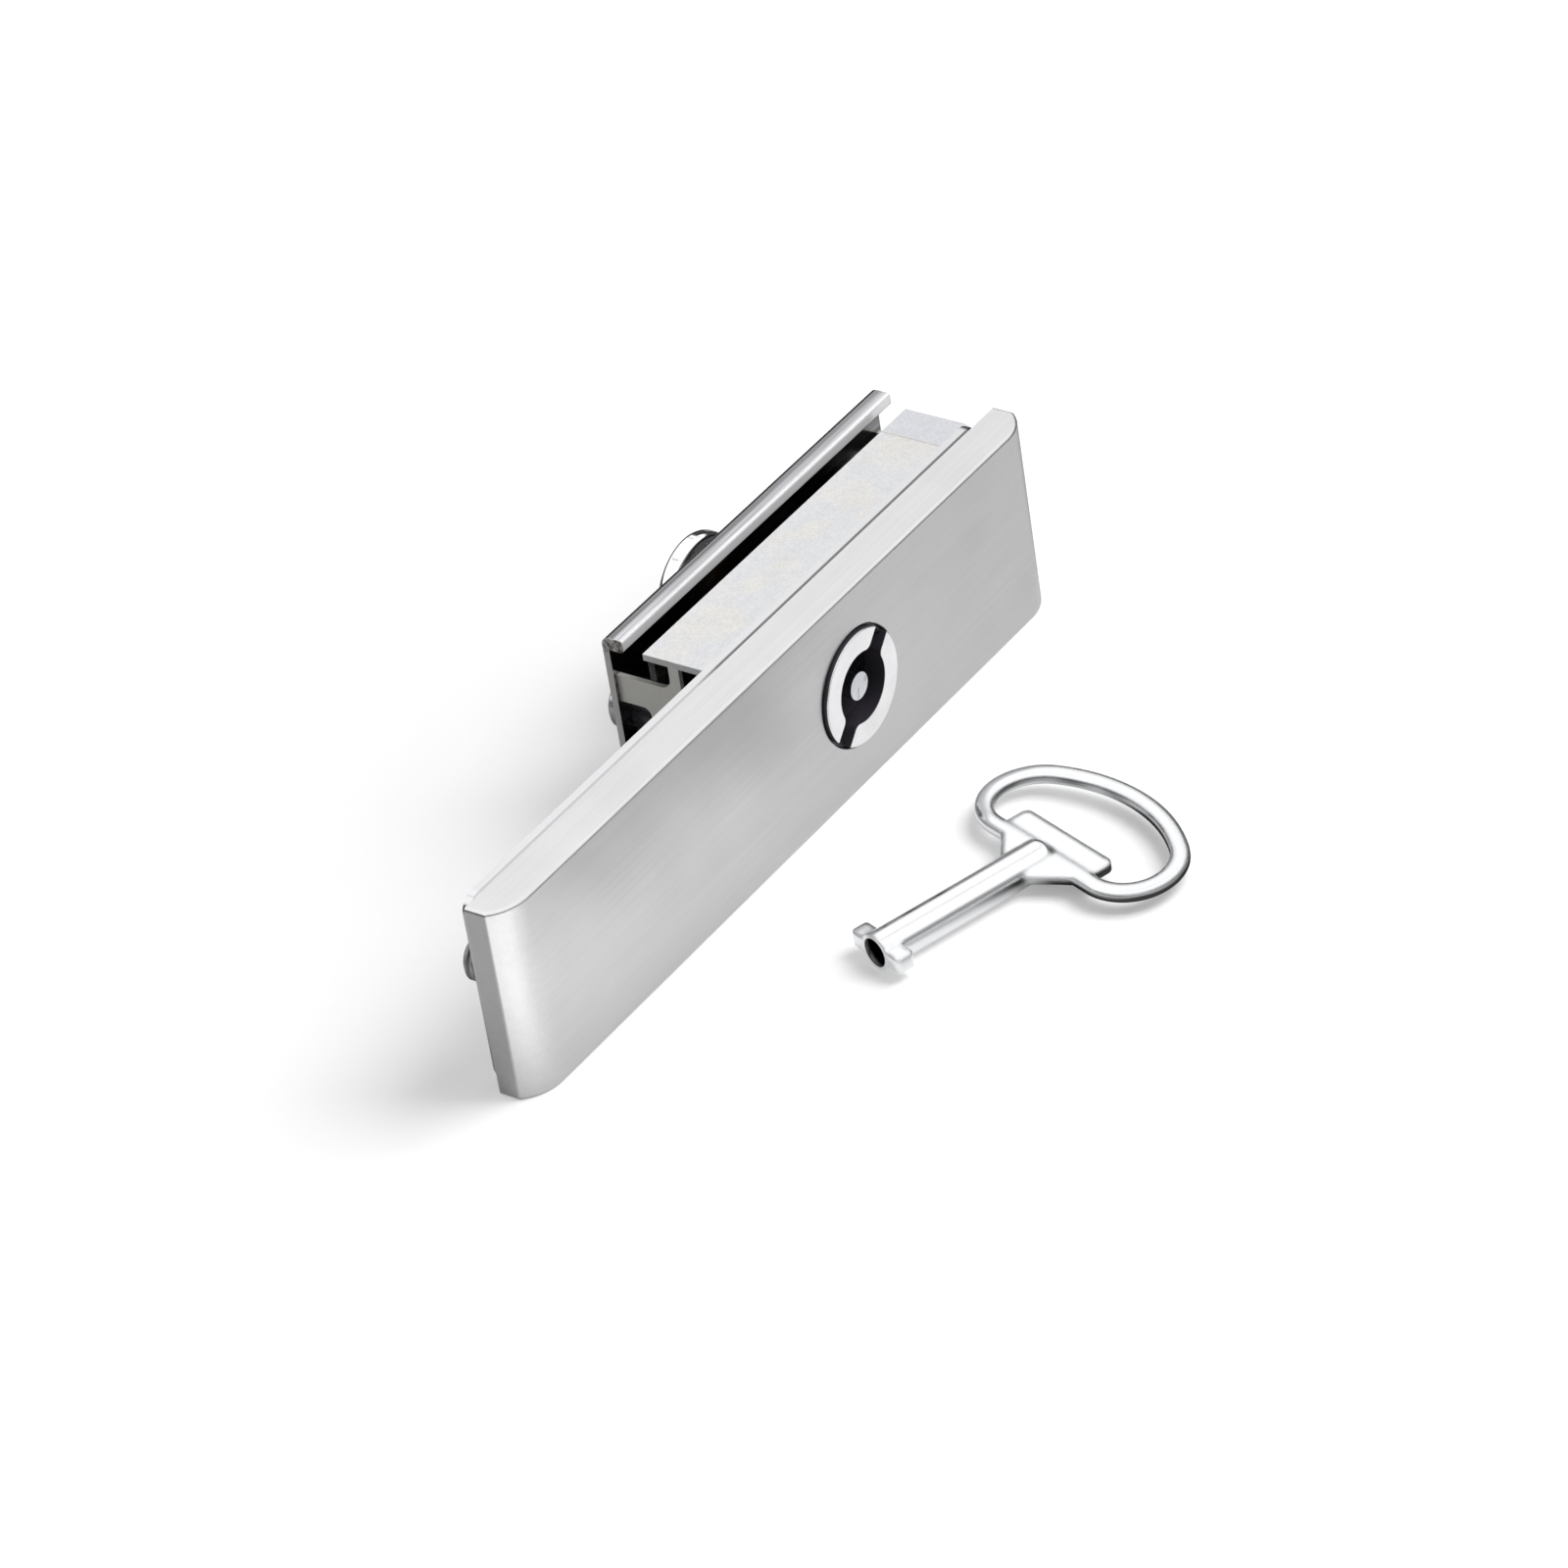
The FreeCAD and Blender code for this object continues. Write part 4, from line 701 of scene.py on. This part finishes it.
class RODLOCK_OT_gears(bpy.types.Operator):
    """Finish the gears, the output spindle and the bearing bushes"""

    bl_idname = "rod_lock.gears"
    bl_label = "Gears and spindle"

    def execute(self, context):
        look = context.scene.rod_lock_finishes
        steel = turned_metal("Gear steel", look.gear_steel, SPINDLE_X)
        finish(["drive_gear", "driven_gear", "output_spindle"], steel)
        # The bushes' near black bronze is painted shade for the gap they sit in.
        bronze = sintered_bronze("Bush bronze", look.bronze)
        finish(["core_tail_bush", "spindle_front_bush", "spindle_rear_bush"], bronze)
        return {"FINISHED"}


class RODLOCK_OT_bracket(bpy.types.Operator):
    """Finish the clamping bracket, its screws and washers"""

    bl_idname = "rod_lock.bracket"
    bl_label = "Clamping bracket"

    def execute(self, context):
        look = context.scene.rod_lock_finishes
        plating = streaked_plating("Streaked plating", look.bracket, look.chrome, look.cut_end,
                                   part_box("rear_bracket"))
        finish(["rear_bracket"], plating)
        finish(["bracket_screws", "bracket_washers"], zinc_plated("Screw zinc", look.zinc))
        return {"FINISHED"}


class RODLOCK_OT_fastenings(bpy.types.Operator):
    """Finish the stud and the cover screws"""

    bl_idname = "rod_lock.fastenings"
    bl_label = "Stud and cover screws"

    def execute(self, context):
        look = context.scene.rod_lock_finishes
        low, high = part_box("fixing_stud")
        middle = ((low[0] + high[0]) / 2, (low[2] + high[2]) / 2)
        thread_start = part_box("base_plate")[1][1] + THREAD_INSET
        thread = threaded_steel("Threaded steel", look.stud_steel, middle, thread_start)
        finish(["fixing_stud"], thread)
        finish(["cover_screws"], zinc_plated("Cover screw zinc", look.zinc))
        return {"FINISHED"}


class RODLOCK_OT_rod_disc(bpy.types.Operator):
    """Finish the chromed rod disc and its screw"""

    bl_idname = "rod_lock.rod_disc"
    bl_label = "Rod disc"

    def execute(self, context):
        look = context.scene.rod_lock_finishes
        finish(["rod_disc"], polished_metal("Disc chrome", look.chrome))
        finish(["disc_screw"], zinc_plated("Disc screw zinc", look.zinc))
        return {"FINISHED"}


class RODLOCK_OT_key(bpy.types.Operator):
    """Finish the loose key"""

    bl_idname = "rod_lock.key"
    bl_label = "Key"

    def execute(self, context):
        look = context.scene.rod_lock_finishes
        mounts = frame["record"]["mounts"]
        bore = next(mount for mount in mounts if mount["name"] == "key_bore")
        finish(["key"], cast_chrome("Key chrome", look.key_chrome, KEY_EDGE_RADIUS, bore))
        return {"FINISHED"}


# Studio

def seen_directly(tree, path):
    """One for rays from the camera, also through glass."""
    return maths(tree, "ADD", path.outputs["Is Camera Ray"], path.outputs["Is Transmission Ray"])


def mirror_room(tree):
    """What metal sees: a white room with a dark skirting all round and a thin slit overhead."""
    place = tree.nodes.new("ShaderNodeTexCoord").outputs["Generated"]
    above = vector_maths(tree, "DOT_PRODUCT", "Value", i0=place, i1=SLIT_DIRECTION)
    slit = window(tree, above, *SLIT_EDGES)
    skirting = product(tree, ramp(tree, axis_of(tree, place, "Z"), *SKIRTING_TOP),
                       ramp(tree, axis_of(tree, place, "Y"), *SKIRTING_FRONT))
    dark = maths(tree, "MAXIMUM", product(tree, skirting, SKIRTING_DARKNESS),
                 product(tree, slit, SLIT_DARKNESS))
    return blend(tree, dark, ROOM_BRIGHTNESS, 0.0)


def round_the_key(tree, across, depth):
    """One on the floor round the key's bow, and one half beside its shank."""
    from_left = maths(tree, "ADD", ramp(tree, across, *BOW_LEFT),
                      ramp(tree, across, *SHANK_LEFT))
    sideways = product(tree, from_left, ramp(tree, across, *KEY_RIGHT))
    return product(tree, sideways, window(tree, depth, KEY_REAR, KEY_FRONT))


class RODLOCK_OT_stage(bpy.types.Operator):
    """Set up the pale floor, the soft lamp, the white surroundings and the camera"""

    bl_idname = "rod_lock.stage"
    bl_label = "Studio"

    def execute(self, context):
        scene = context.scene
        studio = scene.rod_lock_studio
        self.add_floor(scene.rod_lock_finishes.floor, studio.floor_glow)
        self.add_lamp(studio.overhead_power)
        self.set_world(studio.ambient)
        self.add_camera()
        scene.view_settings.view_transform = "Standard"
        return {"FINISHED"}

    def add_floor(self, colour, floor_glow):
        """A pale floor: white where it is seen directly, and toned where metal mirrors it, with
        painted shadow round the key and behind the plate's left end.
        """
        bpy.ops.object.select_all(action="DESELECT")
        bpy.ops.mesh.primitive_plane_add(size=FLOOR_SIZE, location=(0, 0, FLOOR_HEIGHT))
        floor = bpy.context.object
        floor.name = "floor"
        bpy.ops.object.transform_apply(location=True, rotation=True, scale=True)
        material, tree, shader, place = new_material("Pale floor", 0.0, specular=0.0)
        shader.inputs["Roughness"].default_value = FLOOR_ROUGHNESS
        path = tree.nodes.new("ShaderNodeLightPath")
        mirrored = path.outputs["Is Glossy Ray"]
        across, depth = axis_of(tree, place, "X"), axis_of(tree, place, "Y")
        away = vector_maths(tree, "LENGTH", "Value", i0=place)
        far = ramp(tree, away, *FAR_FLOOR)
        # Painted shadow, seen only by metal: the floor is darker round the key and behind the
        # plate's left end.
        key_shadow_zone = round_the_key(tree, across, depth)
        rear_shadow_zone = product(tree, ramp(tree, depth, *BEHIND_PLATE),
                            ramp(tree, across, *BEHIND_LEFT))
        dark = maths(tree, "MAXIMUM", product(tree, far, FAR_FLOOR_DARKNESS),
                     product(tree, key_shadow_zone, KEY_SIDE_DARKNESS))
        dark = maths(tree, "MAXIMUM", dark, rear_shadow_zone)
        tint = scaled(tree, colour, rest_of(tree, product(tree, mirrored, dark)))
        wire(tree, shader, Base_Color=tint)
        front = ramp(tree, depth, *BEFORE_PLATE)
        leftward = maths(tree, "ADD", ramp(tree, across, *GLOW_LEFTWARD),
                         ramp(tree, across, *GLOW_PAST_END))
        open_floor = product(tree, rest_of(tree, far), rest_of(tree, key_shadow_zone))
        lifted = product(tree, front, leftward, open_floor)
        outer = ramp(tree, away, *GLOW_REACH, floor_glow, floor_glow + OUTER_GLOW)
        strength = maths(tree, "ADD", product(tree, seen_directly(tree, path), outer),
                         product(tree, mirrored, lifted))
        glow = add_node(tree, "ShaderNodeEmission", (), Strength=strength)
        total = add_node(tree, "ShaderNodeAddShader", (), i0=shader.outputs[0],
                         i1=glow.outputs[0])
        tree.links.new(total.outputs[0], tree.nodes["Material Output"].inputs["Surface"])
        floor.data.materials.append(material)

    def add_lamp(self, power):
        """A soft square lamp that metal doesn't mirror."""
        lamp = bpy.data.lights.new("Overhead lamp", "AREA")
        lamp.energy = power
        lamp.shape = "SQUARE"
        lamp.size = LAMP_SIZE
        holder = bpy.data.objects.new("Overhead lamp", lamp)
        bpy.context.scene.collection.objects.link(holder)
        holder.location = LAMP_PLACE
        aim = Vector(LAMP_TARGET) - Vector(LAMP_PLACE)
        holder.rotation_euler = aim.to_track_quat("-Z", "Y").to_euler()
        holder.visible_glossy = False

    def set_world(self, ambient):
        """White where it is seen directly, a mirror room for metal, and else even light."""
        world = bpy.data.worlds.new("Studio")
        bpy.context.scene.world = world
        world.use_nodes = True
        tree = world.node_tree
        path = tree.nodes.new("ShaderNodeLightPath")
        even = blend(tree, seen_directly(tree, path), ambient, 1.0)
        strength = mixed_value(tree, path.outputs["Is Glossy Ray"], even, mirror_room(tree))
        background = tree.nodes["Background"]
        background.inputs["Color"].default_value = (1, 1, 1, 1)
        tree.links.new(strength, background.inputs["Strength"])

    def add_camera(self):
        data = bpy.data.cameras.new("Camera")
        data.sensor_width = CAMERA_SENSOR
        data.lens = CAMERA_LENS
        data.clip_start = 0.05
        data.clip_end = 20.0
        camera = bpy.data.objects.new("Camera", data)
        bpy.context.scene.collection.objects.link(camera)
        forward, up = Vector(CAMERA_FORWARD), Vector(CAMERA_UP)
        turn = Matrix((forward.cross(up), up, -forward)).transposed()
        camera.matrix_world = Matrix.Translation(CAMERA_PLACE) @ turn.to_4x4()
        bpy.context.scene.camera = camera


# Panel and registration

PIECES = [
    RODLOCK_OT_plates,
    RODLOCK_OT_key_core,
    RODLOCK_OT_case,
    RODLOCK_OT_gears,
    RODLOCK_OT_bracket,
    RODLOCK_OT_fastenings,
    RODLOCK_OT_rod_disc,
    RODLOCK_OT_key,
    RODLOCK_OT_stage,
]


class RODLOCK_PT_panel(bpy.types.Panel):
    """Lists the lock's colours, the studio's settings and the pieces"""

    bl_idname = "RODLOCK_PT_panel"
    bl_label = "Rod lock"
    bl_space_type = "VIEW_3D"
    bl_region_type = "UI"
    bl_category = "Rod lock"

    def draw(self, context):
        for settings in (context.scene.rod_lock_finishes, context.scene.rod_lock_studio):
            box = self.layout.box()
            for name in settings.__annotations__:
                box.prop(settings, name)
        for piece in PIECES:
            self.layout.operator(piece.bl_idname)


CLASSES = [RodLockFinishes, RodLockStudio] + PIECES + [RODLOCK_PT_panel]


def register():
    for item in CLASSES:
        bpy.utils.register_class(item)
    bpy.types.Scene.rod_lock_finishes = PointerProperty(type=RodLockFinishes)
    bpy.types.Scene.rod_lock_studio = PointerProperty(type=RodLockStudio)


def unregister():
    del bpy.types.Scene.rod_lock_studio
    del bpy.types.Scene.rod_lock_finishes
    for item in reversed(CLASSES):
        bpy.utils.unregister_class(item)


def main():
    register()
    bpy.ops.rod_lock.plates()
    bpy.ops.rod_lock.key_core()
    bpy.ops.rod_lock.case()
    bpy.ops.rod_lock.gears()
    bpy.ops.rod_lock.bracket()
    bpy.ops.rod_lock.fastenings()
    bpy.ops.rod_lock.rod_disc()
    bpy.ops.rod_lock.key()
    bpy.ops.rod_lock.stage()


if __name__ == "__main__":
    main()
